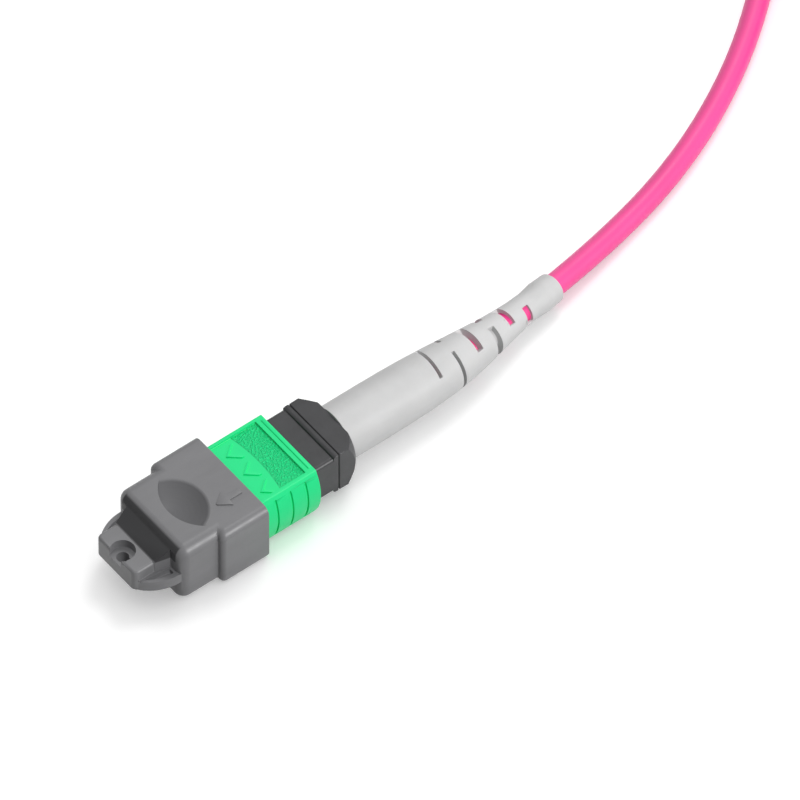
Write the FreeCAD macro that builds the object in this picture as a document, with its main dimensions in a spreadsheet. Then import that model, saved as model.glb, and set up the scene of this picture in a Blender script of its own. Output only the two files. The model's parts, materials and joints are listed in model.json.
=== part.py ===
"""Twelve-fibre MPO connector on a round cord, with its dust cap on.

Frame: the connector lies along X, the cap towards -X and the cord towards +X, +Z is up and
the floor is Z = 0. Stations along X are first measured from the open rear edge of the dust
cap (positive towards the cord), and every sub-part is then shifted so that the connector's
own bounding box is centred on the origin.
"""
import FreeCAD, Part
import math
import os
import Sketcher

V = FreeCAD.Vector

# ---------------------------------------------------------------- driving sizes, in millimetres
CAP = {
    "cap_tall": 9.4, "cap_wide": 14.6, "cap_edge": 1.1, "skirt_long": 7.1,
    "nose_wide": 12.9, "nose_reach": 12.7, "nose_edge": 1.5, "nose_round": 1.4,
    "ramp_head": 11.1, "ramp_foot": 14.8, "ramp_wide": 8.6,
    "tab_reach": 17.75, "tab_top": 7.1, "tab_thick": 3.2, "tab_wide": 7.6, "tab_corner": 0.7,
    "wing_wide": 12.0, "wing_top": 5.3, "wing_thick": 1.6, "wing_bow": 6.2, "wing_pocket": 0.7,
    "wing_wall": 0.55,
    "eye_station": 16.6, "eye_radius": 0.8, "dish_radius": 1.6, "dish_deep": 1.3,
    "lobe_round": 0.4, "shoulder_round": 0.7,
    "scoop_rear": 4.35, "scoop_front": 9.75, "scoop_tip": 7.5, "scoop_half": 4.6, "scoop_deep": 0.8,
    "pin_room": 0.35,
}
SLEEVE = {
    "sleeve_tall": 7.8, "sleeve_wide": 12.8, "sleeve_flat": 10.8, "sleeve_front": 4.6,
    "sleeve_rear": 8.6, "lip_long": 1.25, "panel_deep": 0.3, "rim_wide": 0.45,
    "grip_pitch": 2.25, "grip_first": 2.0, "grip_wide": 0.28, "grip_deep": 0.2, "grip_arc": 24.0,
}
HOUSING = {
    "housing_tall": 6.2, "housing_wide": 10.0, "housing_corner": 0.5, "housing_front": 9.0,
    "housing_rear": 12.4, "rim_front": 11.6, "rim_tall": 6.8, "rim_edge": 0.25,
    "key_wide": 2.4, "key_tall": 0.5, "key_long": 3.3, "key_back": 8.6,
    "notch_front": 6.6, "notch_long": 1.6, "notch_deep": 0.5,
    "stop_station": 3.5,
    "window_front": 6.8, "window_long": 1.6, "window_tall": 2.2,
    "spring_bed_front": 0.7, "spring_bed_long": 5.5,
}
REAR = {
    "push_front": 5.2, "push_wide": 7.2, "push_tall": 3.9, "push_wall": 0.8, "barb_out": 0.55,
    "flange_front": 12.5, "flange_rear": 15.4, "flange_wide": 10.0, "flange_tall": 6.8,
    "neck_inset": 0.15, "disc_radius": 4.5, "chamfer_long": 1.6, "chamfer_rise": 1.6,
    "barrel_radius": 2.15, "barrel_rear": 21.0, "barrel_bore": 1.65, "knurl_pitch": 0.9,
    "knurl_deep": 0.1, "crimp_wall": 0.35, "yarn_wall": 0.2, "crimp_front": 15.6, "crimp_long": 5.9,
}
FERRULE = {
    "ferrule_wide": 6.4, "ferrule_tall": 2.5, "ferrule_face": 9.8, "ferrule_long": 8.0,
    "collar_wide": 7.2, "collar_tall": 3.0, "collar_long": 1.6, "collar_edge": 0.3,
    "window_back": 4.0, "glue_long": 1.5, "glue_wide": 3.2, "glue_deep": 0.8,
    "pin_radius": 0.35, "pin_pitch": 4.6, "pin_out": 2.0, "pin_long": 10.9,
    "keeper_long": 1.4, "keeper_tall": 2.9, "keeper_wide": 7.0,
    "grommet_wide": 3.6, "grommet_tall": 1.5, "grommet_front": 4.6, "grommet_rear": 0.2,
    "ribbon_wide": 3.1, "ribbon_thick": 0.3, "float_stroke": 0.5,
    "spring_radius": 1.85, "spring_wire": 0.2, "spring_turns": 5.0,
    "return_radius": 0.42, "return_wire": 0.11, "return_turns": 6.0, "return_side": 5.2,
}
BOOT = {
    "boot_root": 3.75, "boot_front": 15.45, "boot_socket": 22.0, "boot_long": 36.15,
    "boot_shoulder": 18.5, "boot_ease": 1.6, "boot_waist": 1.87, "boot_cuff": 2.06, "boot_mouth": 1.96,
    "cuff_long": 4.1, "slot_first": 29.7,
    "slot_pitch": 3.05, "slot_narrow": 0.46, "slot_broad": 1.0,
}
CORD = {
    "cord_radius": 1.5, "coil_mid": 17.3, "coil_step": 3.1, "stub_sleeve_radius": 1.8,
    "stub_sleeve_long": 8.0, "stub_ribbon_long": 9.0,
}
FITS = {
    "cap_fit": 0.12, "sleeve_fit": 0.15, "ferrule_fit": 0.06, "running_fit": 0.02, "slip": 0.05,
    "seat": 0.02, "push_gap": 0.2,
}
GROUPS = (CAP, SLEEVE, HOUSING, REAR, FERRULE, BOOT, CORD, FITS)
AXIS_UP = "cap_tall / 2"
BOOT_RINGS = 16

# Route of the cord's free stretch, hand-laid: out of the boot, down to the floor, then round
# into the coil. Stations as for the connector, heights above the floor.
ROUTE = (
    (22.0, 0.0, 4.7),
    (35.5, 0.0, 4.7),
    (59.2, 4.7, 1.55),
    (76.5, 9.4, 1.5),
    (92.5, 18.0, 1.5),
    (106.0, 29.5, 1.5),
    (116.5, 31.2, 1.5),
)
COIL_CENTRE = (131.0, 13.0)
STUB_FROM = 80.0


def fill_sheet(doc):
    """Put every driving size in the sheet, one alias a row."""
    sheet = doc.addObject("Spreadsheet::Sheet", "Sizes")
    row = 0
    for group in GROUPS:
        for alias, number in group.items():
            row += 1
            sheet.set("A%d" % row, alias)
            sheet.set("B%d" % row, str(number))
            sheet.setAlias("B%d" % row, alias)
    doc.recompute()
    return sheet


def bound(text):
    """Turn a formula in plain size names into an expression on the sheet."""
    words = text.replace("(", " ( ").replace(")", " ) ").split()
    names = {alias for group in GROUPS for alias in group}
    return " ".join("Sizes." + word if word in names else word for word in words)


def number(doc, text):
    """The value that a formula in plain size names has now."""
    return float(doc.Sizes.evalExpression(bound(text)))


def bind(thing, path, text):
    """Bind one property of a document object to a formula in plain size names."""
    thing.setExpression(path, bound(text))


def new_body(doc, name):
    body = doc.addObject("PartDesign::Body", name)
    body.Label = name
    return body


def plane_of(body, role):
    return [item for item in body.Origin.OriginFeatures if item.Role == role][0]


def block(body, name, x, y, z, cut=False):
    """A box between two stations, two sides and two heights, added to or cut from the body."""
    kind = "PartDesign::SubtractiveBox" if cut else "PartDesign::AdditiveBox"
    box = body.newObject(kind, name)
    for side, (low, high) in (("Length", x), ("Width", y), ("Height", z)):
        bind(box, side, "( %s ) - ( %s )" % (high, low))
    for letter, (low, _high) in (("x", x), ("y", y), ("z", z)):
        bind(box, "Placement.Base." + letter, low)
    body.Document.recompute()
    return box


def about_middle(width):
    """The two sides of a span centred on the connector's middle plane."""
    return "- ( %s ) / 2" % width, "( %s ) / 2" % width


def about_axis(height):
    """The two heights of a span centred on the connector's axis."""
    return "%s - ( %s ) / 2" % (AXIS_UP, height), "%s + ( %s ) / 2" % (AXIS_UP, height)


def drum(body, name, base, radius, long, along_x=False, cut=False):
    """A cylinder along X or Z from its base point, added to or cut from the body."""
    kind = "PartDesign::SubtractiveCylinder" if cut else "PartDesign::AdditiveCylinder"
    cylinder = body.newObject(kind, name)
    if along_x:
        cylinder.Placement = FreeCAD.Placement(V(), FreeCAD.Rotation(V(0, 1, 0), 90))
    bind(cylinder, "Radius", radius)
    bind(cylinder, "Height", long)
    for letter, text in zip("xyz", base):
        bind(cylinder, "Placement.Base." + letter, text)
    body.Document.recompute()
    return cylinder


def outline(body, name, role, offset, corners, arcs=None):
    """A closed sketch through corners given as formulas; arcs maps a side to (radius, bulge)."""
    doc = body.Document
    arcs = arcs or {}
    sketch = body.newObject("Sketcher::SketchObject", name)
    sketch.AttachmentSupport = [(plane_of(body, role), "")]
    sketch.MapMode = "FlatFace"
    bind(sketch, "AttachmentOffset.Base.z", offset)
    spots = [V(number(doc, x), number(doc, y), 0) for x, y in corners]
    ends = []
    for side, here in enumerate(spots):
        there = spots[(side + 1) % len(spots)]
        if side in arcs:
            radius_text, bulge = arcs[side]
            middle = arc_middle(here, there, number(doc, radius_text), bulge)
            edge = sketch.addGeometry(Part.Arc(here, middle, there))
            flipped = (sketch.getPoint(edge, 1) - here).Length > (sketch.getPoint(edge, 2) - here).Length
            ends.append((2, 1) if flipped else (1, 2))
            rule = sketch.addConstraint(Sketcher.Constraint("Radius", edge, number(doc, radius_text)))
            sketch.setExpression("Constraints[%d]" % rule, bound(radius_text))
        else:
            sketch.addGeometry(Part.LineSegment(here, there))
            ends.append((1, 2))
    for side, (x, y) in enumerate(corners):
        before = (side - 1) % len(spots)
        sketch.addConstraint(Sketcher.Constraint("Coincident", before, ends[before][1], side, ends[side][0]))
        for word, text in (("DistanceX", x), ("DistanceY", y)):
            far = number(doc, text)
            rule = sketch.addConstraint(Sketcher.Constraint(word, -1, 1, side, ends[side][0], far))
            sketch.setExpression("Constraints[%d]" % rule, bound(text))
    doc.recompute()
    return sketch


def arc_middle(here, there, radius, bulge):
    """The middle of the short arc between two points, bulging to the right (1) or left (-1)."""
    chord = there - here
    half = chord.Length / 2
    rise = radius - math.sqrt(max(radius * radius - half * half, 0.0))
    side = V(chord.y, -chord.x, 0).normalize()
    return (here + there) * 0.5 + side * (rise * bulge)


def pad(body, sketch, name, long, backwards=False, both=False, cut=False):
    """Pad or pocket a sketch; a pocket has to take something away."""
    before = body.Shape.Volume if cut else 0.0
    feature = body.newObject("PartDesign::Pocket" if cut else "PartDesign::Pad", name)
    feature.Profile = sketch
    feature.Reversed = backwards
    if both:
        feature.SideType = "Symmetric"
    bind(feature, "Length", long)
    body.Document.recompute()
    if cut and body.Shape.Volume > before - 1e-6:
        raise RuntimeError(name + " cuts nothing")
    return feature


def round_edges(body, name, radius, test, chamfer=False):
    """Round or chamfer every edge of the body's tip that passes the test."""
    body.Document.recompute()
    tip = body.Tip
    edges = ["Edge%d" % (index + 1) for index, edge in enumerate(tip.Shape.Edges) if test(edge)]
    if not edges:
        raise RuntimeError(name + " finds no edge")
    feature = body.newObject("PartDesign::Chamfer" if chamfer else "PartDesign::Fillet", name)
    feature.Base = (tip, edges)
    bind(feature, "Size" if chamfer else "Radius", radius)
    body.Document.recompute()
    return feature


def runs_along(edge, letter):
    """True for a straight edge parallel to one of the axes."""
    box = edge.BoundBox
    spans = {"x": box.XLength, "y": box.YLength, "z": box.ZLength}
    return spans[letter] > 1e-3 and sum(spans.values()) - spans[letter] < 1e-4


def lies_at(edge, letter, place):
    """True for an edge that lies wholly in the plane at that place."""
    box = edge.BoundBox
    low, high = {"x": (box.XMin, box.XMax), "y": (box.YMin, box.YMax), "z": (box.ZMin, box.ZMax)}[letter]
    return abs(low - place) < 1e-3 and abs(high - place) < 1e-3


def shell_radius(deep, half):
    """Formula for the radius of the arc that rises by deep over half its chord."""
    return "( ( %s ) * ( %s ) + ( %s ) * ( %s ) ) / ( 2 * ( %s ) )" % (half, half, deep, deep, deep)


# ---------------------------------------------------------------- dust cap
def cap_skirt(doc):
    """The wider rear part of the cap, rounded along its sides and at its front."""
    body = new_body(doc, "cap_skirt")
    block(body, "skirt", ("- skirt_long", "0"), about_middle("cap_wide"), ("0", "cap_tall"))
    step = -number(doc, "skirt_long")
    round_edges(body, "skirt_shoulders", "shoulder_round",
                lambda edge: runs_along(edge, "z") and lies_at(edge, "x", step))
    rear = 0.0
    round_edges(body, "skirt_edges", "cap_edge",
                lambda edge: runs_along(edge, "x") and abs(edge.BoundBox.XMax - rear) < 1e-3)
    return body


def cap_nose(doc):
    """The cap's nose with its ramp, its tab with the lanyard eye, and the strap wings."""
    body = new_body(doc, "cap_nose")
    block(body, "nose", ("- nose_reach", "- skirt_long / 2"), about_middle("nose_wide"), ("0", "cap_tall"))
    round_edges(body, "nose_edges", "nose_edge", lambda edge: runs_along(edge, "x"))
    front = -number(doc, "nose_reach")
    round_edges(body, "nose_front", "nose_round", lambda edge: lies_at(edge, "x", front))
    cap_ramp_and_tab(doc, body)
    cap_wings(body)
    cap_eye(body)
    return body


def cap_ramp_and_tab(doc, body):
    tab_low = "tab_top - tab_thick"
    ramp = outline(body, "ramp_side", "XZ_Plane", "0",
                   (("- ramp_head", "cap_tall"), ("- ramp_foot", "tab_top"),
                    ("- ramp_foot", tab_low), ("- ramp_head", tab_low)))
    pad(body, ramp, "ramp", "ramp_wide", both=True)
    for name, sign in (("left", ""), ("right", "- ")):
        side = "%s ramp_wide / 2" % sign
        flank = outline(body, "flank_" + name, "XY_Plane", tab_low + " - slip",
                        (("- nose_reach - slip", side), ("- ramp_foot - slip", "%s tab_wide / 2" % sign),
                         ("- ramp_foot - slip", "%s ( ramp_wide / 2 + slip )" % sign)))
        pad(body, flank, "ramp_flank_" + name, "cap_tall", cut=True, backwards=True)
    block(body, "tab", ("- tab_reach", "- ramp_foot + tab_corner"), about_middle("tab_wide"),
          (tab_low, "tab_top"))
    reach = -number(doc, "tab_reach")
    round_edges(body, "tab_corners", "tab_corner",
                lambda edge: runs_along(edge, "z") and lies_at(edge, "x", reach))
    top = number(doc, "tab_top")
    foot = -number(doc, "ramp_foot")
    round_edges(body, "tab_rim", "lobe_round",
                lambda edge: lies_at(edge, "z", top) and edge.BoundBox.XMax < foot + 1e-3
                and not runs_along(edge, "y") or runs_along(edge, "y") and lies_at(edge, "x", reach)
                and lies_at(edge, "z", top))


def cap_wings(body):
    """Two low wings that brace the tab, each with a crescent pocket for the strap."""
    root = "- nose_reach + cap_edge / 2"
    tip = "- tab_reach + tab_corner / 2"
    shape = outline(body, "wing_plan", "XY_Plane", "wing_top - wing_thick",
                    ((root, "wing_wide / 2"), (tip, "tab_wide / 2 - tab_corner / 3"),
                     (tip, "- tab_wide / 2 + tab_corner / 3"), (root, "- wing_wide / 2")),
                    {0: ("wing_bow", 1), 2: ("wing_bow", 1)})
    pad(body, shape, "wings", "wing_thick")
    for name, sign in (("left", ""), ("right", "- ")):
        root = "%s ( ramp_wide / 2 + wing_wall / 2 )" % sign
        inner = "%s ( tab_wide / 2 + wing_wall / 2 )" % sign
        outer = "%s ( wing_wide / 2 - wing_wall * 1.2 )" % sign
        near = "- nose_reach - wing_wall / 2"
        far = "- tab_reach + wing_wall * 2.4"
        pocket = outline(body, "pocket_" + name, "XY_Plane", "wing_top",
                         ((near, root), (near, outer), (far, inner)),
                         {1: ("wing_bow - wing_wall", 1 if name == "left" else -1)})
        pad(body, pocket, "strap_pocket_" + name, "wing_pocket", cut=True)


def cap_eye(body):
    """Lanyard eye: a small through hole in a round dish that breaks out of the tab's front."""
    low = "tab_top - tab_thick - slip"
    drum(body, "eye", ("- eye_station", "0", low), "eye_radius", "tab_thick + 2 * slip", cut=True)
    drum(body, "dish", ("- eye_station", "0", "tab_top - dish_deep"), "dish_radius",
         "dish_deep + slip", cut=True)


def sleeve_section(body, name, offset, extra):
    """The sleeve's section, two flats joined by bowed sides, grown all round by extra."""
    half = "( sleeve_flat / 2 + %s )" % extra
    low = "( %s - sleeve_tall / 2 - %s )" % (AXIS_UP, extra)
    high = "( %s + sleeve_tall / 2 + %s )" % (AXIS_UP, extra)
    bow = shell_radius("( sleeve_wide - sleeve_flat ) / 2", "( sleeve_tall / 2 + %s )" % extra)
    corners = (("- " + half, low), (half, low), (half, high), ("- " + half, high))
    return outline(body, name, "YZ_Plane", offset, corners, {1: (bow, 1), 3: (bow, 1)})


def cap_hollow(doc):
    """Room for the sleeve's front, the plug's housing with its key, and the ferrule's pins."""
    body = new_body(doc, "cap_hollow")
    mouth = sleeve_section(body, "sleeve_room_section", "slip", "cap_fit")
    pad(body, mouth, "sleeve_room", "sleeve_front + 2 * cap_fit + slip", backwards=True)
    bottom = "- housing_front - 2 * cap_fit"
    block(body, "housing_room", (bottom, "0"), about_middle("housing_wide + 2 * cap_fit"),
          about_axis("housing_tall + 2 * cap_fit"))
    keyway_low = AXIS_UP + " - housing_tall / 2 - key_tall - cap_fit"
    block(body, "keyway", (bottom, "0"), about_middle("key_wide + 2 * cap_fit"), (keyway_low, AXIS_UP))
    block(body, "pin_room_hollow", ("- ferrule_face - pin_out - pin_room", "- housing_front"),
          about_middle("ferrule_wide + 2 * pin_room"), about_axis("ferrule_tall + 2 * pin_room"))
    return body


def thumb_scoop(doc):
    """A lens-shaped dip, flush at its rear and deepest at its front wall."""
    rear_arc = shell_radius("( scoop_tip - scoop_rear )", "scoop_half")
    ball = doc.addObject("Part::Sphere", "scoop_ball")
    ball_radius = shell_radius("scoop_deep", "( %s )" % rear_arc)
    bind(ball, "Radius", ball_radius)
    bind(ball, "Placement.Base.x", "- scoop_rear - ( %s )" % rear_arc)
    bind(ball, "Placement.Base.z", "cap_tall - scoop_deep + ( %s )" % ball_radius)
    front_arc = shell_radius("( scoop_front - scoop_tip )", "scoop_half")
    wall = doc.addObject("Part::Cylinder", "scoop_wall")
    bind(wall, "Radius", front_arc)
    bind(wall, "Height", "3 * scoop_deep")
    bind(wall, "Placement.Base.x", "- scoop_front + ( %s )" % front_arc)
    bind(wall, "Placement.Base.z", "cap_tall - 2 * scoop_deep")
    scoop = doc.addObject("Part::Common", "scoop")
    scoop.Base = ball
    scoop.Tool = wall
    return scoop


def dust_cap(doc):
    """The whole cap: skirt and nose in one, less the hollow and the thumb scoop."""
    shell = doc.addObject("Part::MultiFuse", "cap_shell")
    shell.Shapes = [cap_skirt(doc), cap_nose(doc)]
    rooms = doc.addObject("Part::MultiFuse", "cap_rooms")
    rooms.Shapes = [cap_hollow(doc), thumb_scoop(doc)]
    cap = doc.addObject("Part::Cut", "dust_cap")
    cap.Base = shell
    cap.Tool = rooms
    cap.Label = "dust_cap"
    return cap


# ---------------------------------------------------------------- coupling sleeve
def coupling_sleeve(doc):
    """The green pull-back sleeve: bowed sides, sunk panels, a rear lip and finger grooves."""
    body = new_body(doc, "coupling_sleeve")
    section = sleeve_section(body, "sleeve_section", "- sleeve_front", "0")
    pad(body, section, "sleeve_wall", "sleeve_front + sleeve_rear")
    ends = ("- sleeve_front - slip", "sleeve_rear + slip")
    block(body, "housing_bore", ends, about_middle("housing_wide + 2 * sleeve_fit"),
          about_axis("housing_tall + 2 * sleeve_fit"), cut=True)
    panel = ("- sleeve_front - slip", "sleeve_rear - lip_long")
    across = about_middle("sleeve_flat - 2 * rim_wide")
    top = AXIS_UP + " + sleeve_tall / 2"
    low = AXIS_UP + " - sleeve_tall / 2"
    block(body, "panel_top", panel, across, (top + " - panel_deep", top + " + slip"), cut=True)
    block(body, "panel_bottom", panel, across, (low + " - slip", low + " + panel_deep"), cut=True)
    for name, sign in (("left", "1"), ("right", "- 1")):
        middle = "%s * return_side" % sign
        reach = "( return_radius + return_wire + slip )"
        block(body, "spring_pocket_" + name,
              ("spring_bed_front", "spring_bed_front + spring_bed_long + 2 * slip"),
              (middle + " - " + reach, middle + " + " + reach),
              (AXIS_UP + " - " + reach, AXIS_UP + " + " + reach), cut=True)
        sleeve_grooves(body, name, sign)
    return body


def sleeve_grooves(body, name, sign):
    """Three shallow finger grooves that follow the bowed side, revolved about its centre."""
    bow = shell_radius("( sleeve_wide - sleeve_flat ) / 2", "( sleeve_tall / 2 )")
    centre = "%s * ( sleeve_wide / 2 - ( %s ) )" % (sign, bow)
    inner = "%s * ( sleeve_wide / 2 - grip_deep )" % sign
    outer = "%s * ( sleeve_wide / 2 + grip_wide )" % sign
    for count in range(3):
        near = "grip_first + %d * grip_pitch" % count
        far = near + " + grip_wide"
        label = "groove_%s_%d" % (name, count + 1)
        sketch = outline(body, label + "_section", "XY_Plane", AXIS_UP,
                         ((near, inner), (far, inner), (far, outer), (near, outer)))
        groove = body.newObject("PartDesign::Groove", label)
        groove.Profile = sketch
        axis = body.newObject("PartDesign::Line", label + "_axis")
        axis.Placement = FreeCAD.Placement(V(), FreeCAD.Rotation(V(0, 1, 0), 90))
        bind(axis, "Placement.Base.y", centre)
        bind(axis, "Placement.Base.z", AXIS_UP)
        groove.ReferenceAxis = (axis, [""])
        groove.Midplane = True
        bind(groove, "Angle", "2 * grip_arc")
        before = body.Shape.Volume
        body.Document.recompute()
        if body.Shape.Volume > before - 1e-6:
            raise RuntimeError(label + " cuts nothing")


# ---------------------------------------------------------------- plug housing
def plug_housing(doc):
    """The black inner housing: keyed front, latch notches, ferrule passage and spring chamber."""
    body = new_body(doc, "plug_housing")
    block(body, "shell", ("- housing_front", "housing_rear"), about_middle("housing_wide"),
          about_axis("housing_tall"))
    round_edges(body, "shell_edges", "housing_corner", lambda edge: runs_along(edge, "x"))
    low = AXIS_UP + " - housing_tall / 2"
    block(body, "key", ("- key_back", "- key_back + key_long"), about_middle("key_wide"),
          (low + " - key_tall", low + " + slip"))
    block(body, "rim", ("rim_front", "housing_rear"), about_middle("housing_wide"), about_axis("rim_tall"))
    front = number(doc, "rim_front")
    half = number(doc, "housing_tall") / 2
    middle = number(doc, AXIS_UP)
    round_edges(body, "rim_edges", "rim_edge",
                lambda edge: lies_at(edge, "x", front) and runs_along(edge, "y")
                and abs(edge.BoundBox.ZMin - middle) > half + 1e-3, chamfer=True)
    block(body, "ferrule_passage", ("- housing_front - slip", "- stop_station"),
          about_middle("ferrule_wide + 2 * ferrule_fit"),
          about_axis("ferrule_tall + 2 * ferrule_fit"), cut=True)
    block(body, "chamber", ("- stop_station", "housing_rear + slip"),
          about_middle("push_wide + 2 * push_gap"), about_axis("push_tall + 2 * push_gap"), cut=True)
    for name, sign in (("left", "1"), ("right", "- 1")):
        housing_side(body, name, sign)
    return body


def span(sign, low, high):
    """The two sides of a cut on the left (sign 1) or, mirrored, on the right (sign - 1)."""
    if sign == "1":
        return low, high
    return "- ( %s )" % high, "- ( %s )" % low


def housing_side(body, name, sign):
    """One narrow side: the latch notch, the return spring's bed and the window for the barb."""
    outside = "housing_wide / 2 + slip"
    tall = about_axis("housing_tall + 2 * slip")
    block(body, "latch_notch_" + name, ("- notch_front", "- notch_front + notch_long"),
          span(sign, "housing_wide / 2 - notch_deep", outside), tall, cut=True)
    bed_floor = "return_side - return_radius - return_wire - slip"
    bed_tall = about_axis("2 * ( return_radius + return_wire + slip )")
    block(body, "spring_bed_" + name, ("spring_bed_front", "spring_bed_front + spring_bed_long"),
          span(sign, bed_floor, outside), bed_tall, cut=True)
    block(body, "barb_window_" + name, ("window_front", "window_front + window_long"),
          span(sign, "push_wide / 2 - slip", outside), about_axis("window_tall"), cut=True)


# ---------------------------------------------------------------- rear housing
def rear_housing(doc):
    """The rear housing: spring push with barbs, nut-like flange turned to a round end, and barrel."""
    body = new_body(doc, "rear_housing")
    block(body, "flange", ("flange_front", "flange_rear"), about_middle("flange_wide"),
          about_axis("flange_tall"))
    face = number(doc, "flange_rear")
    turned = outline(body, "flange_turning", "XY_Plane", AXIS_UP,
                     (("flange_rear - chamfer_long", "disc_radius + chamfer_rise"),
                      ("flange_rear", "disc_radius"), ("flange_rear + slip", "disc_radius"),
                      ("flange_rear + slip", "disc_radius + chamfer_rise")))
    turn_away(body, turned, "flange_chamfer")
    block(body, "neck", ("housing_rear", "flange_front + slip"),
          about_middle("flange_wide - 2 * neck_inset"), about_axis("flange_tall - 2 * neck_inset"))
    block(body, "spring_push", ("push_front", "housing_rear + slip"), about_middle("push_wide"),
          about_axis("push_tall"))
    for name, sign in (("left", "1"), ("right", "- 1")):
        block(body, "barb_" + name, ("window_front + slip", "window_front + window_long - slip"),
              span(sign, "push_wide / 2 - slip", "push_wide / 2 + barb_out"),
              about_axis("window_tall - 2 * slip"))
    drum(body, "barrel", ("flange_rear - slip", "0", AXIS_UP), "barrel_radius",
         "barrel_rear - flange_rear + slip", along_x=True)
    for count in range(4):
        near = "crimp_front + %d * knurl_pitch" % (count + 1)
        far = near + " + knurl_pitch / 2"
        root = "barrel_radius - knurl_deep"
        ring = outline(body, "knurl_section_%d" % (count + 1), "XY_Plane", AXIS_UP,
                       ((near, root), (far, root), (far, "barrel_radius + slip"),
                        (near, "barrel_radius + slip")))
        turn_away(body, ring, "knurl_%d" % (count + 1))
    block(body, "ribbon_way", ("push_front - slip", "flange_front"),
          about_middle("push_wide - 2 * push_wall"), about_axis("push_tall - 2 * push_wall"), cut=True)
    drum(body, "barrel_way", ("flange_front - slip", "0", AXIS_UP), "barrel_bore",
         "barrel_rear - flange_front + 2 * slip", along_x=True, cut=True)
    if body.Shape.BoundBox.XMax < face:
        raise RuntimeError("the barrel is missing")
    return body


def turn_away(body, sketch, name):
    """Turn the sketch's area away all round the connector's axis."""
    axis = body.newObject("PartDesign::Line", name + "_axis")
    axis.Placement = FreeCAD.Placement(V(), FreeCAD.Rotation(V(0, 1, 0), 90))
    bind(axis, "Placement.Base.z", AXIS_UP)
    groove = body.newObject("PartDesign::Groove", name)
    groove.Profile = sketch
    groove.ReferenceAxis = (axis, [""])
    groove.Angle = 360
    before = body.Shape.Volume
    body.Document.recompute()
    if body.Shape.Volume > before - 1e-6:
        raise RuntimeError(name + " cuts nothing")


# ---------------------------------------------------------------- ferrule and what floats with it
def mt_ferrule(doc):
    """The twelve-fibre ferrule: collar, guide holes, glue window and the grommet's seat."""
    body = new_body(doc, "mt_ferrule")
    rear = "- ferrule_face + ferrule_long"
    block(body, "ferrule_block", ("- ferrule_face", rear), about_middle("ferrule_wide"),
          about_axis("ferrule_tall"))
    block(body, "collar", (rear + " - collar_long", rear), about_middle("collar_wide"),
          about_axis("collar_tall"))
    round_edges(body, "collar_edges", "collar_edge",
                lambda edge: runs_along(edge, "x"), chamfer=True)
    for name, sign in (("left", "1"), ("right", "- 1")):
        drum(body, "guide_hole_" + name, ("- ferrule_face - slip", sign + " * pin_pitch / 2", AXIS_UP),
             "pin_radius + running_fit", "ferrule_long + 2 * slip", along_x=True, cut=True)
    top = AXIS_UP + " + ferrule_tall / 2"
    block(body, "glue_window", ("- window_back - glue_long", "- window_back"), about_middle("glue_wide"),
          (top + " - glue_deep", top + " + slip"), cut=True)
    block(body, "grommet_seat", ("- grommet_front", rear + " + slip"),
          about_middle("grommet_wide + 2 * seat"), about_axis("grommet_tall + 2 * seat"), cut=True)
    return body


def guide_pin(doc, name, sign):
    """A guide pin through the ferrule and the keeper, with a chamfered tip standing out."""
    body = new_body(doc, name)
    side = sign + " * pin_pitch / 2"
    drum(body, name + "_shank", ("- ferrule_face - pin_out", side, AXIS_UP), "pin_radius",
         "pin_long", along_x=True)
    tip = -number(doc, "ferrule_face + pin_out")
    round_edges(body, name + "_tip", "pin_radius / 2", lambda edge: lies_at(edge, "x", tip), chamfer=True)
    return body


def pin_keeper(doc):
    """The clip that holds both pins behind the ferrule, with a spring seat round the ribbon."""
    body = new_body(doc, "pin_keeper")
    front = "- ferrule_face + ferrule_long"
    block(body, "keeper_plate", (front, front + " + keeper_long"), about_middle("keeper_wide"),
          about_axis("keeper_tall"))
    round_edges(body, "keeper_edges", "collar_edge", lambda edge: runs_along(edge, "x"))
    block(body, "ribbon_window", (front + " - slip", front + " + keeper_long + slip"),
          about_middle("grommet_wide + 2 * seat"), about_axis("grommet_tall + 2 * seat"), cut=True)
    for name, sign in (("left", "1"), ("right", "- 1")):
        drum(body, "pin_seat_" + name, (front + " - slip", sign + " * pin_pitch / 2", AXIS_UP),
             "pin_radius + running_fit", "keeper_long + 2 * slip", along_x=True, cut=True)
    return body


def ferrule_grommet(doc):
    """The rubber boot in the ferrule's back, slit for the fibre ribbon."""
    body = new_body(doc, "ferrule_grommet")
    rear = "- ferrule_face + ferrule_long + keeper_long - grommet_rear"
    block(body, "grommet", ("- grommet_front", rear), about_middle("grommet_wide"),
          about_axis("grommet_tall"))
    block(body, "slit", ("- grommet_front - slip", rear + " + slip"), about_middle("ribbon_wide + 2 * slip"),
          about_axis("ribbon_thick + 2 * slip"), cut=True)
    return body


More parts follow.
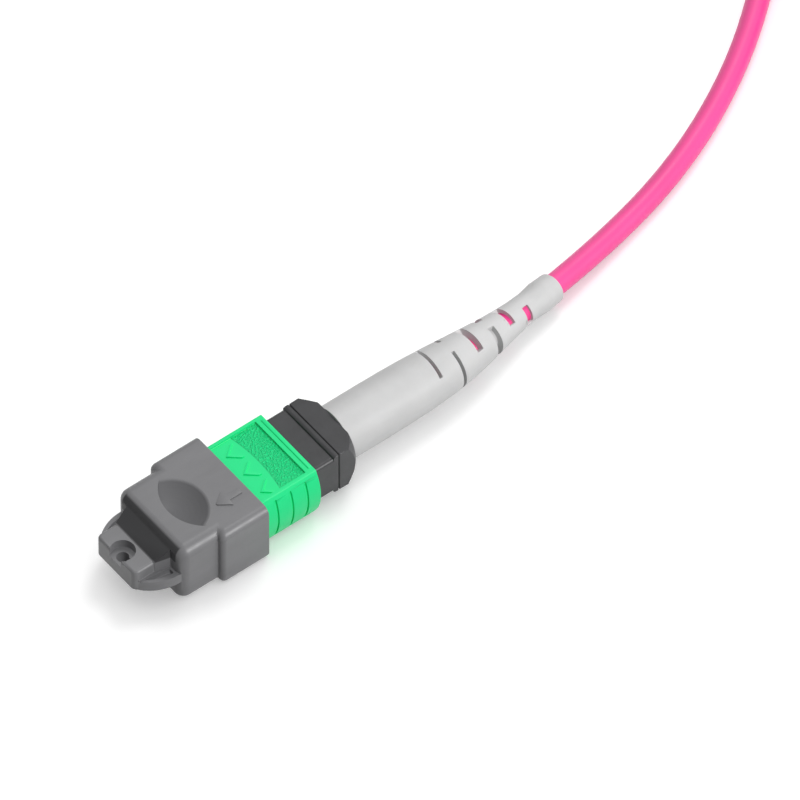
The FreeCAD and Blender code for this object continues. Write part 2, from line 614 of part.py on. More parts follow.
def wire_spring(doc, name, front, back, side, radius, wire, turns):
    """A compression spring along X: light six-sided wire swept along a helix between two stations."""
    helix = doc.addObject("Part::Helix", name + "_helix")
    bind(helix, "Radius", radius)
    bind(helix, "Height", "( %s ) - ( %s ) - 2 * ( %s )" % (back, front, wire))
    bind(helix, "Pitch", "( ( %s ) - ( %s ) - 2 * ( %s ) ) / ( %s )" % (back, front, wire, turns))
    section = doc.addObject("Part::RegularPolygon", name + "_wire")
    section.Polygon = 6
    bind(section, "Circumradius", wire)
    section.Placement = FreeCAD.Placement(V(), FreeCAD.Rotation(V(1, 0, 0), 90))
    bind(section, "Placement.Base.x", radius)
    doc.recompute()
    spring = doc.addObject("Part::Sweep", name)
    spring.Label = name
    spring.Sections = [section]
    spring.Spine = (helix, ["Edge%d" % (index + 1) for index in range(len(helix.Shape.Edges))])
    spring.Solid = True
    spring.Frenet = True
    spring.Placement = FreeCAD.Placement(V(), FreeCAD.Rotation(V(0, 1, 0), 90))
    bind(spring, "Placement.Base.x", "( %s ) + ( %s )" % (front, wire))
    bind(spring, "Placement.Base.y", side)
    bind(spring, "Placement.Base.z", AXIS_UP)
    doc.recompute()
    return spring


def springs(doc):
    """The ferrule's spring and the two return springs of the sleeve."""
    keeper_back = "- ferrule_face + ferrule_long + keeper_long"
    made = [wire_spring(doc, "ferrule_spring", keeper_back + " + seat", "push_front - seat", "0",
                        "spring_radius", "spring_wire", "spring_turns")]
    for name, sign in (("return_spring_left", "1"), ("return_spring_right", "- 1")):
        made.append(wire_spring(doc, name, "spring_bed_front + seat",
                                "spring_bed_front + spring_bed_long - seat", sign + " * return_side",
                                "return_radius", "return_wire", "return_turns"))
    return made


def fibre_ribbon(doc):
    """The bare twelve-fibre ribbon from the ferrule's window back to the cord's jacket."""
    body = new_body(doc, "fibre_ribbon")
    block(body, "ribbon", ("- grommet_front + float_stroke + slip", "boot_socket"),
          about_middle("ribbon_wide"), about_axis("ribbon_thick"))
    return body


def tube(doc, name, front, long, inner, outer):
    """A plain tube on the connector's axis."""
    body = new_body(doc, name)
    drum(body, name + "_wall", (front, "0", AXIS_UP), outer, long, along_x=True)
    drum(body, name + "_bore", (front + " - slip", "0", AXIS_UP), inner, long + " + 2 * slip",
         along_x=True, cut=True)
    return body


def crimp_parts(doc):
    """The yarn folded over the barrel and the ring crimped on it."""
    yarn = tube(doc, "aramid_yarn", "crimp_front + slip", "crimp_long - 4 * slip", "barrel_radius",
                "barrel_radius + yarn_wall")
    ring = tube(doc, "crimp_ring", "crimp_front", "crimp_long", "barrel_radius + yarn_wall",
                "barrel_radius + yarn_wall + crimp_wall")
    round_edges(ring, "crimp_ring_edges", "crimp_wall / 3",
                lambda edge: edge.Curve.TypeId == "Part::GeomCircle"
                and edge.Curve.Radius > number(doc, "barrel_radius + yarn_wall") + 1e-3)
    return [yarn, ring]


# ---------------------------------------------------------------- boot and cord
class Path:
    """Straight runs joined by tangent arcs, each arc as large as its two runs allow."""

    SHARE = 0.45

    def __init__(self, points):
        self.edges = []
        self.radii = []
        spots = [V(*point) for point in points]
        last = spots[0]
        for before, corner, after in zip(spots, spots[1:], spots[2:]):
            back = (before - corner).normalize()
            ahead = (after - corner).normalize()
            half = back.getAngle(ahead * -1) / 2
            reach = self.SHARE * min((before - corner).Length, (after - corner).Length)
            radius = reach / math.tan(half)
            start = corner + back * reach
            end = corner + ahead * reach
            inward = (back + ahead).normalize()
            middle = corner + inward * (radius / math.cos(half) - radius)
            self.edges.append(Part.LineSegment(last, start).toShape())
            self.edges.append(Part.Arc(start, middle, end).toShape())
            self.radii.append(radius)
            last = end
        self.edges.append(Part.LineSegment(last, spots[-1]).toShape())
        self.wire = Part.Wire(self.edges)
        self.length = self.wire.Length

    def at(self, distance):
        """The point and the heading at a distance along the path; below zero, straight back."""
        if distance < 0.0:
            start, heading = self.at(0.0)
            return start + heading * distance, heading
        for edge in self.edges:
            if distance <= edge.Length or edge is self.edges[-1]:
                place = edge.getParameterByLength(min(distance, edge.Length))
                return edge.valueAt(place), edge.tangentAt(place).normalize()
            distance -= edge.Length
        raise ValueError("beyond the path")


def swept(doc, name, path, radius):
    """A round solid along a path."""
    spine = doc.addObject("Part::Feature", name + "_path")
    spine.Shape = path.wire
    section = doc.addObject("Part::Circle", name + "_section")
    bind(section, "Radius", radius)
    start, heading = path.at(0.0)
    section.Placement = FreeCAD.Placement(start, FreeCAD.Rotation(V(0, 0, 1), heading))
    doc.recompute()
    sweep = doc.addObject("Part::Sweep", name)
    sweep.Label = name
    sweep.Sections = [section]
    sweep.Spine = (spine, ["Edge%d" % (index + 1) for index in range(len(path.edges))])
    sweep.Solid = True
    doc.recompute()
    return sweep


def boot_radii(doc):
    """Distance along the boot's axis and radius there, from the root to the flared mouth."""
    root = number(doc, "boot_root")
    waist = number(doc, "boot_waist")
    cuff = number(doc, "boot_cuff")
    front = number(doc, "boot_front")
    long = number(doc, "boot_long")
    shoulder = number(doc, "boot_shoulder") - front
    neck = long - number(doc, "cuff_long")
    step = long / BOOT_RINGS
    radii = []
    for ring in range(BOOT_RINGS):
        along = ring * step
        if along < shoulder:
            radius = root
        elif along < neck:
            share = ((along - shoulder) / (neck - shoulder)) ** number(doc, "boot_ease")
            radius = waist + (root - waist) * (0.5 + 0.5 * math.cos(math.pi * share))
        else:
            radius = cuff
        radii.append((front + along, radius))
    radii.append((front + long, number(doc, "boot_mouth")))
    return radii


def strain_relief_boot(doc):
    """The long boot: lofted along its bent axis, bored for the cord and slit in crossed pairs."""
    path = Path(ROUTE[:3])
    origin = ROUTE[0][0]
    rings = []
    for index, (station, radius) in enumerate(boot_radii(doc)):
        ring = doc.addObject("Part::Circle", "boot_ring_%d" % (index + 1))
        ring.Radius = radius
        place, heading = path.at(station - origin)
        ring.Placement = FreeCAD.Placement(place, FreeCAD.Rotation(V(0, 0, 1), heading))
        rings.append(ring)
    skin = doc.addObject("Part::Loft", "boot_skin")
    skin.Sections = rings
    skin.Solid = True
    skin.Ruled = True
    tools = [swept(doc, "boot_bore", path, "cord_radius + slip")]
    socket = doc.addObject("Part::Cylinder", "boot_socket_bore")
    bind(socket, "Radius", "barrel_radius + yarn_wall + crimp_wall + slip")
    bind(socket, "Height", "boot_socket - boot_front + 2 * slip")
    socket.Placement = FreeCAD.Placement(V(number(doc, "boot_front - slip"), 0, number(doc, AXIS_UP)),
                                         FreeCAD.Rotation(V(0, 1, 0), 90))
    tools.append(socket)
    tools += boot_slots(doc, path, origin)
    cuts = doc.addObject("Part::MultiFuse", "boot_cuts")
    cuts.Shapes = tools
    boot = doc.addObject("Part::Cut", "strain_relief_boot")
    boot.Base = skin
    boot.Tool = cuts
    boot.Label = "strain_relief_boot"
    return boot


def boot_slots(doc, path, origin):
    """Six stations of slots, an opposite pair at each, crossed from one station to the next."""
    spans = ((0.0, 47.0), (82.0, 70.0), (0.0, 47.0), (82.0, 70.0), (0.0, 47.0), (60.0, 38.0))
    slots = []
    for index, (middle, half) in enumerate(spans):
        station = number(doc, "slot_first + %d * slot_pitch" % index) - origin
        place, heading = path.at(station)
        for turn in (0.0, 180.0):
            slot = doc.addObject("Part::Cylinder", "slot_%d_%d" % (index + 1, turn))
            bind(slot, "Height", "slot_narrow" if index < 2 else "slot_broad")
            bind(slot, "Radius", "boot_root * 1.2")
            slot.Angle = 2 * half
            upright = V(0, 0, 1)
            across = heading.cross(upright).normalize()
            up = across.cross(heading).normalize()
            first = math.radians(middle + turn - half)
            start = up * math.cos(first) + across * math.sin(first)
            facing = FreeCAD.Rotation(start, heading.cross(start), heading, "ZXY")
            slot.Placement = FreeCAD.Placement(place, facing)
            slots.append(slot)
    return slots


def cord_jacket(doc):
    """The cord's jacket from inside the boot to the edge of the coil."""
    path = Path(ROUTE)
    print("cord radii", [round(radius, 1) for radius in path.radii])
    cord = swept(doc, "cord_jacket", path, "cord_radius")
    section = math.pi * number(doc, "cord_radius") ** 2
    print("cord volume over section times length", round(cord.Shape.Volume / section / path.length, 4))
    return cord


def ring_piece(doc, name, section, first=0.0, angle=360.0):
    """A solid of revolution about the coil's upright middle line, whole or part of a turn."""
    body = new_body(doc, name)
    sketch = section(body, name + "_section")
    turned = body.newObject("PartDesign::Revolution", name + "_turn")
    turned.Profile = sketch
    turned.ReferenceAxis = (sketch, ["V_Axis"])
    turned.Angle = angle
    place = V(COIL_CENTRE[0], COIL_CENTRE[1], 0)
    body.Placement = FreeCAD.Placement(place, FreeCAD.Rotation(V(0, 0, 1), first))
    doc.recompute()
    return body


def disc(body, name, role, x, y, radius):
    """A sketch of one full circle with its centre given as formulas."""
    doc = body.Document
    sketch = body.newObject("Sketcher::SketchObject", name)
    sketch.AttachmentSupport = [(plane_of(body, role), "")]
    sketch.MapMode = "FlatFace"
    centre = V(number(doc, x), number(doc, y), 0)
    circle = sketch.addGeometry(Part.Circle(centre, V(0, 0, 1), number(doc, radius)))
    rules = (("Radius", (circle,), radius), ("DistanceX", (-1, 1, circle, 3), x),
             ("DistanceY", (-1, 1, circle, 3), y))
    for word, places, text in rules:
        rule = sketch.addConstraint(Sketcher.Constraint(word, *places, number(doc, text)))
        sketch.setExpression("Constraints[%d]" % rule, bound(text))
    doc.recompute()
    return sketch


def coil_parts(doc):
    """The put-away length as one ring, three turns wide and high, and the prepared end on it."""
    low_in = "coil_mid - coil_step - cord_radius"
    wide_out = "coil_mid + coil_step + cord_radius"
    step_in = "coil_mid - cord_radius"
    ledge = "2 * cord_radius + coil_step"
    top = "2 * cord_radius + 2 * coil_step"
    bevel = "cord_radius / 2"
    coil_corners = (
        (low_in + " + " + bevel, "0"), (wide_out + " - " + bevel, "0"), (wide_out, bevel),
        (wide_out, top + " - " + bevel), (wide_out + " - " + bevel, top), (step_in + " + " + bevel, top),
        (step_in, top + " - " + bevel), (step_in, ledge), (low_in + " + " + bevel, ledge),
        (low_in, ledge + " - " + bevel), (low_in, bevel))
    coil = ring_piece(doc, "cord_coil",
                      lambda body, name: outline(body, name, "XZ_Plane", "0", coil_corners))
    middle = "( coil_mid - cord_radius - stub_sleeve_radius - seat )"
    height = "( 2 * cord_radius + coil_step + stub_sleeve_radius + seat )"
    bend = number(doc, middle)
    turn = math.degrees(number(doc, "stub_sleeve_long") / bend)
    sleeve = ring_piece(doc, "stub_sleeve",
                        lambda body, name: disc(body, name, "XZ_Plane", middle, height,
                                                "stub_sleeve_radius"),
                        STUB_FROM - turn, turn)
    far = math.degrees(number(doc, "stub_ribbon_long") / bend)
    inner, outer = middle + " - ribbon_wide / 2", middle + " + ribbon_wide / 2"
    flat = ((inner, height), (outer, height), (outer, height + " + ribbon_thick"),
            (inner, height + " + ribbon_thick"))
    ribbon = ring_piece(doc, "stub_ribbon", lambda body, name: outline(body, name, "XZ_Plane", "0", flat),
                        STUB_FROM - turn - far, far)
    return [coil, sleeve, ribbon]


# ---------------------------------------------------------------- the whole connector
def check(doc):
    """Stop if any object of the document failed."""
    doc.recompute()
    for item in doc.Objects:
        if "Invalid" in item.State or "Error" in item.State:
            raise RuntimeError("failed object: " + item.Name)


def main():
    doc = FreeCAD.newDocument("connector")
    fill_sheet(doc)
    connector = [dust_cap(doc), coupling_sleeve(doc), plug_housing(doc), rear_housing(doc), mt_ferrule(doc),
                 guide_pin(doc, "guide_pin_left", "1"), guide_pin(doc, "guide_pin_right", "- 1"),
                 pin_keeper(doc), ferrule_grommet(doc), fibre_ribbon(doc), strain_relief_boot(doc)]
    connector += springs(doc) + crimp_parts(doc)
    cord = [cord_jacket(doc)] + coil_parts(doc)
    check(doc)
    ends = [(part.Shape.BoundBox.XMin, part.Shape.BoundBox.XMax) for part in connector]
    shift = -(min(low for low, _high in ends) + max(high for _low, high in ends)) / 2
    print("shift along X", round(shift, 4))
    for part in connector + cord:
        place = part.Placement.copy()
        place.Base.x += shift
        part.setExpression("Placement.Base.x", None)
        part.Placement = place
    check(doc)
    os.makedirs("parts", exist_ok=True)
    for part in connector + cord:
        shape = part.Shape
        if shape.isNull() or not shape.isValid() or shape.Volume <= 0:
            raise RuntimeError("bad shape: " + part.Label)
        print("%-22s %8.2f mm3 %d solid" % (part.Label, shape.Volume, len(shape.Solids)))
        shape.exportStep("parts/" + part.Label + ".step")


main()
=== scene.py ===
"""Dressing of a twelve-fibre plug on its cord: finishes, small moulded marks, cord, springs and stage.

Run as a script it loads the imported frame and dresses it; the sizes and colours that a user
would change are properties of the panel in the 3D view's sidebar.
"""
import json
import math

import bpy
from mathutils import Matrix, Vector


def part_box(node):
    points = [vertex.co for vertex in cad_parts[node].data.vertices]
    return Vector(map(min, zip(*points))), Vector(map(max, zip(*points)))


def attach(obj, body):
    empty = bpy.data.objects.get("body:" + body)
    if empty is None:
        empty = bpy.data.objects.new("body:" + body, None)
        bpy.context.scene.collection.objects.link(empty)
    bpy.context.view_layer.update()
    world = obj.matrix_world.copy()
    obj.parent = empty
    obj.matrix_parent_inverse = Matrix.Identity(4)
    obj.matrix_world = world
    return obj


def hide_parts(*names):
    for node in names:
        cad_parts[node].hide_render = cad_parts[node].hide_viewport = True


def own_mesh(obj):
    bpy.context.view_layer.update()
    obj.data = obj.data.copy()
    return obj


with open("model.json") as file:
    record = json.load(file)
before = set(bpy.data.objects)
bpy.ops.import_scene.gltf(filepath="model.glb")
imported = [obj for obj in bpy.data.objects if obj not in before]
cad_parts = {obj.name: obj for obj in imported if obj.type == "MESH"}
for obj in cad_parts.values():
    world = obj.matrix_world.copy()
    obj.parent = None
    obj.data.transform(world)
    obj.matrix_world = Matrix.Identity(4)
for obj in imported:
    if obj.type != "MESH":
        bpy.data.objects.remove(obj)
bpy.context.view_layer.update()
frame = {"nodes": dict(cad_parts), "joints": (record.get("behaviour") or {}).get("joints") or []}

bl_info = {
    "name": "Fibre plug dressing",
    "version": (1, 0, 0),
    "blender": (4, 5, 0),
    "location": "View3D > Sidebar > Fibre plug",
    "description": "Dresses a multi-fibre plug, its dust cap and its cord",
    "category": "Object",
}

MM = 0.001

# ---------------------------------------------------------------- places taken from the frame
CAP_LOW, CAP_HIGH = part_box("dust_cap")
SLEEVE_LOW, SLEEVE_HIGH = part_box("coupling_sleeve")
# The open rear edge of the cap: the connector's own stations along X are measured from it.
REAR_EDGE = CAP_HIGH.x
AXIS_HEIGHT = (CAP_LOW.z + CAP_HIGH.z) / 2
# Where the sleeve's rear lip begins.
LIP_FROM = SLEEVE_HIGH.x - 1.25 * MM


def station(x, y=0.0, z=0.0):
    """A point given in millimetres from the cap's rear edge, the middle plane and the floor."""
    return Vector((REAR_EDGE + x * MM, y * MM, z * MM))


# The cord's free stretch, in the connector's stations: the same points as the solid's route.
CORD_ROUTE = (
    (22.0, 0.0, 4.7),
    (35.5, 0.0, 4.7),
    (59.2, 4.7, 1.55),
    (76.5, 9.4, 1.5),
    (92.5, 18.0, 1.5),
    (106.0, 29.5, 1.5),
    (116.5, 31.2, 1.5),
)
# The coil, in millimetres: its middle, the radii of its rings and the heights of its layers.
COIL_CENTRE = (131.0, 13.0)
COIL_RADII = (14.2, 17.3, 20.4)
COIL_LAYERS = (1.5, 4.6, 7.7)
# In degrees: where round its middle the coil starts, and how far it turns in all.
COIL_FROM = 100.0
COIL_TURNING = 2900.0

# The point of the floor that the camera looks at, and the width of its film in millimetres.
VIEW_CENTRE = station(27.36, 2.29)
FILM_WIDTH = 36.0
# The floor's side, and how far it lies under the part, so that the two never share a face.
FLOOR_SIDE = 6.0
FLOOR_DROP = 0.02 * MM


# ---------------------------------------------------------------- modelling by hand, in small steps
def deselect():
    """Leave edit mode and let go of every object."""
    if bpy.context.mode != "OBJECT":
        bpy.ops.object.mode_set(mode="OBJECT")
    bpy.ops.object.select_all(action="DESELECT")


def take(thing):
    """Make one object the only selected and active one."""
    deselect()
    thing.select_set(True)
    bpy.context.view_layer.objects.active = thing
    return thing


def settle(thing):
    """Put the object's place into its mesh, so that the object sits at the origin."""
    take(thing)
    bpy.ops.object.transform_apply(location=True, rotation=True, scale=True)
    return thing


def smooth(thing, degrees=35.0):
    """Shade a piece smooth, but for the edges that bend by more than the angle."""
    take(thing)
    bpy.ops.object.shade_smooth_by_angle(angle=math.radians(degrees))


def dress(thing, name, body, material):
    """Name a finished piece, give it its finish and let it ride on its body."""
    thing.name = name
    thing.data.name = name
    thing.data.materials.clear()
    thing.data.materials.append(material)
    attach(thing, body)


def modifier(thing, kind, name, **values):
    """Add one modifier, set it and apply it."""
    take(thing)
    added = thing.modifiers.new(name, kind)
    for key, value in values.items():
        setattr(added, key, value)
    bpy.ops.object.modifier_apply(modifier=added.name)


def pick_none(part):
    """Go to edit mode, ready to pick faces or edges, with none picked yet."""
    bpy.ops.object.mode_set(mode="EDIT")
    bpy.ops.mesh.select_mode(type=part)
    bpy.ops.mesh.select_all(action="DESELECT")


def middle_of(mesh, edge):
    """The point halfway along an edge."""
    first, second = (mesh.vertices[index].co for index in edge.vertices)
    return (first + second) / 2


def pick_edges(thing, test):
    """Go to edit mode with only those edges picked whose middle passes the test."""
    pick_none("EDGE")
    bpy.ops.object.mode_set(mode="OBJECT")
    for edge in thing.data.edges:
        edge.select = test(middle_of(thing.data, edge))
    bpy.ops.object.mode_set(mode="EDIT")


def face_outward():
    """In edit mode, turn every face outward, then go back to object mode."""
    bpy.ops.mesh.select_all(action="SELECT")
    bpy.ops.mesh.normals_make_consistent(inside=False)
    bpy.ops.object.mode_set(mode="OBJECT")


# ---------------------------------------------------------------- raised marks
def sheet(length, width):
    """A flat sheet that a mark is raised from, left in edit mode with all of it picked."""
    deselect()
    bpy.ops.mesh.primitive_plane_add(size=1.0, location=(0.0, 0.0, 0.0))
    mark = take(bpy.context.object)
    bpy.ops.object.mode_set(mode="EDIT")
    bpy.ops.transform.resize(value=(length, width, 1.0))
    return mark


def raise_all(height):
    """Draw the whole sheet up into a solid; its top stays picked."""
    bpy.ops.mesh.select_all(action="SELECT")
    bpy.ops.mesh.extrude_region_move(TRANSFORM_OT_translate={"value": (0.0, 0.0, height)})


def set_down(mark, place, name, part, edge, segments=2):
    """Put a raised mark in its place on the cap or the sleeve, and soften its edges."""
    face_outward()
    mark.location = place
    settle(mark)
    modifier(mark, "BEVEL", "soft edge", width=edge, segments=segments, limit_method="ANGLE")
    smooth(mark)
    dress(mark, name, part, finish_for(part))


# ---------------------------------------------------------------- rounded mouldings
# Points of a solid this near to each other are one, and flats that bend less than this are one flat.
SAME_POINT = 0.0005 * MM
SAME_FLAT = math.radians(0.5)
# The end faces that hold an opening are larger than this, and look this nearly along the length.
LARGE_END = 3.2 * MM * MM
END_FACING = 0.99


def merged_copy(name):
    """A copy of one of the frame's solids, its doubled points merged and its flats made whole."""
    source = frame["nodes"][name]
    copy = source.copy()
    copy.data = source.data.copy()
    bpy.context.scene.collection.objects.link(copy)
    copy.parent = None
    copy.matrix_world = source.matrix_world
    settle(copy)
    bpy.ops.object.mode_set(mode="EDIT")
    bpy.ops.mesh.select_all(action="SELECT")
    bpy.ops.mesh.remove_doubles(threshold=SAME_POINT)
    bpy.ops.mesh.normals_make_consistent(inside=False)
    bpy.ops.mesh.dissolve_limited(angle_limit=SAME_FLAT)
    bpy.ops.object.mode_set(mode="OBJECT")
    return copy


def weigh_edges(piece, sharp, finer):
    """Weigh the edges that bend past the angle.

    An edge weighs 1, or the share that stands with the last of the boxes that its middle lies in.
    """
    pick_none("EDGE")
    bpy.ops.mesh.edges_select_sharp(sharpness=math.radians(sharp))
    bpy.ops.object.mode_set(mode="OBJECT")
    mesh = piece.data
    weights = mesh.attributes.new("bevel_weight_edge", "FLOAT", "EDGE").data
    for edge in mesh.edges:
        middle = middle_of(mesh, edge)
        weight = 1.0 if edge.select else 0.0
        for low, high, share in finer:
            if edge.select and all(low[i] <= middle[i] <= high[i] for i in range(3)):
                weight = share
        weights[edge.index].value = weight


def split_ends(piece):
    """Cut the large end faces into convex ones, so that their openings stay open once rounded."""
    pick_none("FACE")
    bpy.ops.object.mode_set(mode="OBJECT")
    for face in piece.data.polygons:
        an_end = abs(face.normal.x) > END_FACING and face.area > LARGE_END
        face.select = an_end and len(face.vertices) > 4
    bpy.ops.object.mode_set(mode="EDIT")
    bpy.ops.mesh.vert_connect_concave()
    bpy.ops.object.mode_set(mode="OBJECT")


def softened(node, name, body, width, sharp=40.0, finer=(), split=False):
    """A moulded look for one solid: a copy with its sharp edges rounded, shown in its place."""
    piece = merged_copy(node)
    if split:
        split_ends(piece)
    weigh_edges(piece, sharp, finer)
    modifier(piece, "BEVEL", "soft edges", width=width, segments=2, limit_method="WEIGHT",
             offset_type="ABSOLUTE", use_clamp_overlap=False, miter_outer="MITER_ARC")
    smooth(piece)
    modifier(piece, "WEIGHTED_NORMAL", "flats kept flat", weight=80, keep_sharp=True)
    dress(piece, name, body, finish_for(NODE_FINISH[node]))
    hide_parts(node)


# ---------------------------------------------------------------- finishes
class Finish:
    """A node-based material built step by step."""

    def __init__(self, name, colour, roughness, **sockets):
        self.material = bpy.data.materials.new(name)
        self.material.use_nodes = True
        self.nodes = self.material.node_tree.nodes
        self.links = self.material.node_tree.links
        self.shader = self.nodes["Principled BSDF"]
        self.shader.inputs["Base Color"].default_value = (*colour, 1.0)
        self.shader.inputs["Roughness"].default_value = roughness
        for socket, value in sockets.items():
            self.shader.inputs[socket.replace("_", " ")].default_value = value
        self.place = self.nodes.new("ShaderNodeTexCoord").outputs["Object"]
        self.height = None

    def noise(self, scale, detail=3.0, roughness=0.5, stretch=None):
        """Noise on the object's own coordinates; scale is in features a metre."""
        node = self.nodes.new("ShaderNodeTexNoise")
        node.inputs["Scale"].default_value = scale
        node.inputs["Detail"].default_value = detail
        node.inputs["Roughness"].default_value = roughness
        source = self.place
        if stretch:
            mapping = self.nodes.new("ShaderNodeMapping")
            mapping.inputs["Scale"].default_value = stretch
            self.links.new(source, mapping.inputs["Vector"])
            source = mapping.outputs["Vector"]
        self.links.new(source, node.inputs["Vector"])
        return node.outputs["Fac"]

    def feed(self, socket, value):
        """Let a node's output set one of the shader's sockets."""
        self.links.new(value, self.shader.inputs[socket])

    def spread(self, value, low, high, out_low=0.0, out_high=1.0):
        """Map a value's range to another, held at both ends."""
        node = self.nodes.new("ShaderNodeMapRange")
        node.inputs["From Min"].default_value = low
        node.inputs["From Max"].default_value = high
        node.inputs["To Min"].default_value = out_low
        node.inputs["To Max"].default_value = out_high
        self.links.new(value, node.inputs["Value"])
        return node.outputs["Result"]

    def combine(self, first, kind, second):
        """Work out one value from two, each a number or a node's output."""
        node = self.nodes.new("ShaderNodeMath")
        node.operation = kind
        for socket, value in zip(node.inputs, (first, second)):
            if isinstance(value, (int, float)):
                socket.default_value = value
            else:
                self.links.new(value, socket)
        return node.outputs["Value"]

    def axis(self, letter):
        """One of the object's own three coordinates."""
        node = self.nodes.new("ShaderNodeSeparateXYZ")
        self.links.new(self.place, node.inputs["Vector"])
        return node.outputs[letter]

    def tint(self, amount, first, second):
        """Mix two colours by an amount into the base colour."""
        node = self.nodes.new("ShaderNodeMix")
        node.data_type = "RGBA"
        node.inputs["A"].default_value = (*first, 1.0)
        node.inputs["B"].default_value = (*second, 1.0)
        self.links.new(amount, node.inputs["Factor"])
        self.feed("Base Color", node.outputs["Result"])
        return node

    def tint_over(self, amount, colour):
        """Lay another colour over the base colour by an amount."""
        under = self.shader.inputs["Base Color"].links[0].from_socket
        node = self.tint(amount, colour, colour)
        self.links.new(under, node.inputs["A"])

    def rough(self, amount, low, high):
        """Let an amount from 0 to 1 set the roughness between two values."""
        self.feed("Roughness", self.spread(amount, 0.0, 1.0, low, high))

    def within(self, low, high, soft=0.08 * MM):
        """1 inside a box of the object's coordinates, 0 outside it."""
        inside = 1.0
        for letter, first, last in zip("XYZ", low, high):
            value = self.axis(letter)
            opening = self.spread(value, first - soft, first + soft)
            closing = self.spread(value, last - soft, last + soft, 1.0, 0.0)
            inside = self.combine(self.combine(opening, "MULTIPLY", closing), "MULTIPLY", inside)
        return inside

    def bump(self, height, distance, strength=1.0):
        """Raise the surface by a height, on top of the bumps that it has already."""
        node = self.nodes.new("ShaderNodeBump")
        node.inputs["Distance"].default_value = distance
        node.inputs["Strength"].default_value = strength
        self.links.new(height, node.inputs["Height"])
        if self.height is not None:
            self.links.new(self.height, node.inputs["Normal"])
        self.height = node.outputs["Normal"]
        self.feed("Normal", self.height)


def srgb(red, green, blue):
    """A colour given as it is seen, 0 to 255, in the linear values that a shader wants."""
    def linear(value):
        share = value / 255.0
        return share / 12.92 if share <= 0.04045 else ((share + 0.055) / 1.055) ** 2.4
    return linear(red), linear(green), linear(blue)


def scaled(colour, amount):
    """The same colour, lighter or darker."""
    return tuple(min(1.0, channel * amount) for channel in colour)


def cap_grey(colour):
    """Moulded grey plastic with eroded grain and faint flow marks; its dish and ramp carry painted
    shade.
    """
    gloss, hollow_gloss = 0.55, 0.15
    dish_rim = 9.3
    finish = Finish("cap grey", colour, 0.42, Specular_IOR_Level=gloss)
    flow = finish.noise(260.0, 4.0, 0.6, stretch=(0.5, 1.4, 1.4))
    finish.tint(finish.spread(flow, 0.3, 0.7), scaled(colour, 0.94), scaled(colour, 1.07))
    dish = finish.within(station(-10.2, -4.8, 7.0), station(-4.1, 4.8, dish_rim))
    ramp = finish.within(station(-14.7, -5.3, 7.0), station(-11.4, 5.3, 9.2))
    hollows = finish.combine(dish, "MAXIMUM", ramp)
    # Painted shade: the dish is tinted a little darker and the front ramp much darker, for the shade
    # that falls on them.
    finish.tint_over(dish, scaled(colour, 0.84))
    finish.tint_over(ramp, scaled(colour, 0.34))
    # In the dish and on the ramp the plastic is smoother, with little gloss and hardly any grain.
    finish.feed("Specular IOR Level", finish.spread(hollows, 0.0, 1.0, gloss, hollow_gloss))
    grained = finish.spread(finish.noise(900.0, 3.0), 0.0, 1.0, 0.34, 0.48)
    smoother = finish.spread(hollows, 0.0, 1.0, 1.0, 0.85)
    finish.feed("Roughness", finish.combine(grained, "MULTIPLY", smoother))
    grain = finish.combine(finish.noise(9000.0, 2.0), "MULTIPLY",
                           finish.spread(hollows, 0.0, 1.0, 1.0, 0.1))
    finish.bump(grain, 0.02 * MM, 0.35)
    # The dish reads deeper than it is: its own slope once more, nothing at its rim.
    depth = finish.combine(finish.axis("Z"), "SUBTRACT", dish_rim * MM)
    finish.bump(finish.combine(depth, "MULTIPLY", dish), 1.0)
    return finish.material


def sleeve_green(colour):
    """Bright green plastic, polished at the front and leather-grained behind a curved boundary."""
    # The boundary runs forward towards the sides: its X for the square of its Y, both in metres.
    bow = -22.0
    blend, half_crease = 0.12 * MM, 0.02 * MM
    # The grip panels, by the squares of the distances from the axis and from the middle plane: from
    # 3.4 mm above or below the axis outward, and up to 4.9 mm to either side.
    panel_starts, panel_full = 1.16e-5, 1.18e-5
    flat_full, flat_ends = 2.4e-5, 2.43e-5
    finish = Finish("sleeve green", colour, 0.38, Specular_IOR_Level=0.32)
    across = finish.combine(finish.axis("Y"), "MULTIPLY", finish.axis("Y"))
    boundary = finish.combine(finish.combine(across, "MULTIPLY", bow), "ADD",
                              REAR_EDGE + sizes().grain_from)
    behind = finish.combine(finish.axis("X"), "SUBTRACT", boundary)
    grained = finish.spread(behind, 0.0, blend)
    before_lip = finish.spread(finish.axis("X"), LIP_FROM, LIP_FROM + 0.1 * MM, 1.0, 0.0)
    rise = finish.combine(finish.axis("Z"), "SUBTRACT", AXIS_HEIGHT)
    panel = finish.combine(
        finish.spread(finish.combine(rise, "MULTIPLY", rise), panel_starts, panel_full),
        "MULTIPLY", finish.spread(across, flat_full, flat_ends, 1.0, 0.0))
    mask = finish.combine(finish.combine(grained, "MULTIPLY", before_lip), "MULTIPLY", panel)
    pebble = finish.spread(finish.noise(3600.0, 2.5, 0.55), 0.42, 0.6)
    finish.bump(finish.combine(pebble, "MULTIPLY", mask), 0.11 * MM)
    finish.bump(finish.noise(12000.0, 1.0), 0.01 * MM, 0.25)
    # Painted shade: the hollows between the pebbles are darker; further up their sides the tint fades
    # out.
    pebble_shade = finish.combine(finish.spread(pebble, 0.0, 1.0, 0.6, -0.25), "MULTIPLY", mask)
    # Painted shade: a fine dark line runs along the curved boundary, where its crease lies.
    line = finish.combine(finish.spread(behind, -blend, -half_crease), "MULTIPLY",
                          finish.spread(behind, half_crease, blend, 1.0, 0.0))
    crease_shade = finish.combine(line, "MULTIPLY", panel)
    finish.tint(finish.combine(pebble_shade, "ADD", crease_shade), colour, scaled(colour, 0.76))
    finish.rough(finish.noise(700.0, 2.0), 0.32, 0.46)
    return finish.material


